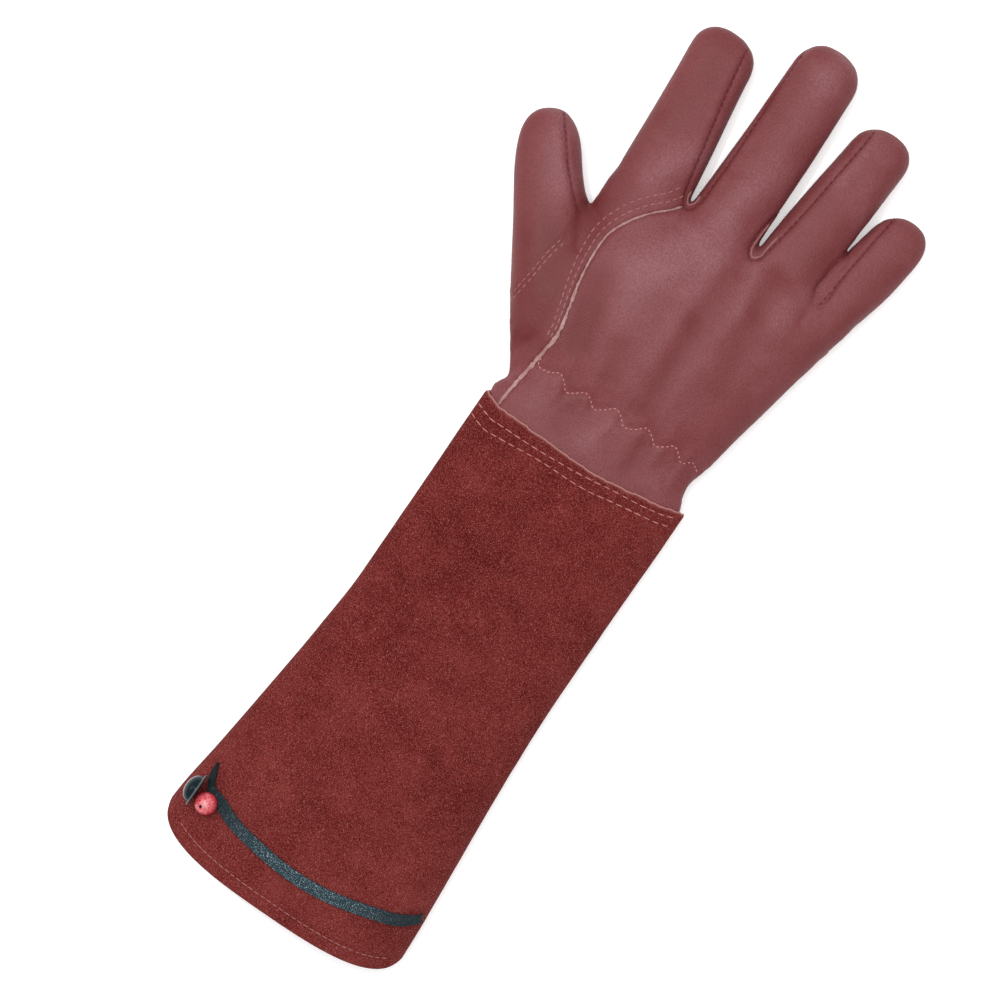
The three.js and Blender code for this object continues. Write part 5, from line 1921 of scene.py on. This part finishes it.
def bead():
    """A ball with an open bore, whose shares say how high a place is, for its painted highlight and
    shade, and what is bore, for the painted shade inside it.
    """
    start = math.asin(BEAD_BORE / BEAD_RADIUS)
    rows = []
    for i in range(33):
        a = start + (math.pi - 2 * start) * i / 32
        rows.append((BEAD_RADIUS * math.sin(a), -BEAD_RADIUS * math.cos(a)))
    lip = BEAD_RADIUS * math.cos(start) - 0.35
    rows += [(BEAD_BORE - BORE_LIP, lip), (BEAD_BORE - BORE_LIP, -lip), rows[0]]
    points, faces = turned_piece(rows, BEAD_STEPS)
    points = points + 0.05 * rough_shift(points, 1.6, 70)
    bore = np.hypot(points[:, 0], points[:, 1]) < BEAD_BORE + 0.05
    axis = np.array([
        math.sin(BORE_TILT) * math.cos(BORE_HEADING),
        math.sin(BORE_TILT) * math.sin(BORE_HEADING),
        math.cos(BORE_TILT),
    ])
    side = np.cross([0, 0, 1], axis)
    side /= np.linalg.norm(side)
    points = points @ np.stack([np.cross(side, axis), side, axis], 1).T + np.array(BEAD_CENTRE)
    # The height share feeds the painted highlight and shade; the bore share feeds the painted shade in
    # the bore.
    shares = {"tone": (points[:, 2] - BEAD_CENTRE[2]) / BEAD_RADIUS, "seam": bore}
    made = mesh_object("bead_red", points, faces, BEAD_PLASTIC, shares, sharp=40)
    finish_piece(made, "bead_plastic", "bead")


def button():
    """Its flat back stands upright, and its dome faces the thumb's side."""
    rows = [(0.0, 0.0), (BUTTON_RADIUS - 1.6, 0.0), (BUTTON_RADIUS - 0.4, 0.12)]
    for k in range(7):
        a = math.radians(-90 + 30 * k)
        rows.append((BUTTON_RADIUS - 0.5 + 0.5 * math.cos(a), 0.5 + 0.42 * math.sin(a) + 0.1))
    rows.append((BUTTON_DOME_RADIUS + 0.55, BUTTON_RIM - 0.25))
    rows.append((BUTTON_DOME_RADIUS + 0.1, BUTTON_RIM - 0.1))
    for k in range(1, 20):
        a = math.pi / 2 * k / 20
        rows.append((BUTTON_DOME_RADIUS * math.cos(a), BUTTON_RIM + BUTTON_DOME * math.sin(a)))
    rows.append((0.0, BUTTON_RIM + BUTTON_DOME))
    points, faces = turned_piece(rows, BUTTON_STEPS)
    # Painted highlight: marks the rim's edge for a pale grey band, carried in the raw share.
    edge = bell(np.hypot(points[:, 0], points[:, 1]) - BUTTON_RADIUS, 0.45)
    points = np.stack([-points[:, 2], points[:, 1], points[:, 0]], 1) + np.array(BUTTON_CENTRE)
    made = mesh_object("button_dark", points, faces, BUTTON_PLASTIC, {"raw": edge}, sharp=40)
    finish_piece(made, "button_plastic", "button")


elastic_strap()
bead()
button()


# Floor and light

FLOOR_HALF = 4.0
FLOOR_LEVEL = -0.0002
WORLD_STRENGTH = 0.62
# Name, place in metres in the camera's own turn, size in metres and power in watts
SOFTBOXES = [
    ("overhead", (0.0, 0.3, 2.2), 1.8, 28.5),
    ("left_window", (-1.5, 0.9, 1.3), 1.0, 7.0),
    ("small_lamp", (-0.35, 0.3, 1.2), 0.045, 3.2),
]


def lay_floor():
    material, _, _ = new_material(
        "pale_floor", (0.93, 0.93, 0.93), 0.9, Specular_IOR_Level=0.05,
        Emission_Color=(1.0, 1.0, 1.0, 1.0), Emission_Strength=0.28,
    )
    mesh = bpy.data.meshes.new("floor")
    corners = [(-1, -1), (1, -1), (1, 1), (-1, 1)]
    corners = [(x * FLOOR_HALF, y * FLOOR_HALF, FLOOR_LEVEL) for x, y in corners]
    mesh.from_pydata(corners, [], [range(4)])
    mesh.materials.append(material)
    linked_object("floor", mesh)


def add_softbox(name, place, size, power):
    """A square light that faces the glove."""
    light = bpy.data.lights.new(name, "AREA")
    light.shape = "SQUARE"
    light.size = size
    light.energy = power
    lamp = linked_object(name, light)
    c, s = math.cos(GLOVE_TURN), math.sin(GLOVE_TURN)
    x, y, z = place
    lamp.location = (c * x - s * y, s * x + c * y, z)
    aim = Vector((VIEW_CENTRE[0] * MM, VIEW_CENTRE[1] * MM, 0.0)) - lamp.location
    lamp.rotation_euler = aim.to_track_quat("-Z", "Y").to_euler()


def light_the_table():
    scene = bpy.context.scene
    world = bpy.data.worlds.new("studio")
    world.use_nodes = True
    background = world.node_tree.nodes["Background"]
    background.inputs["Color"].default_value = (1.0, 1.0, 1.0, 1.0)
    background.inputs["Strength"].default_value = WORLD_STRENGTH
    scene.world = world
    for softbox in SOFTBOXES:
        add_softbox(*softbox)
    scene.view_settings.view_transform = "Standard"
    scene.view_settings.look = "None"


lay_floor()
light_the_table()
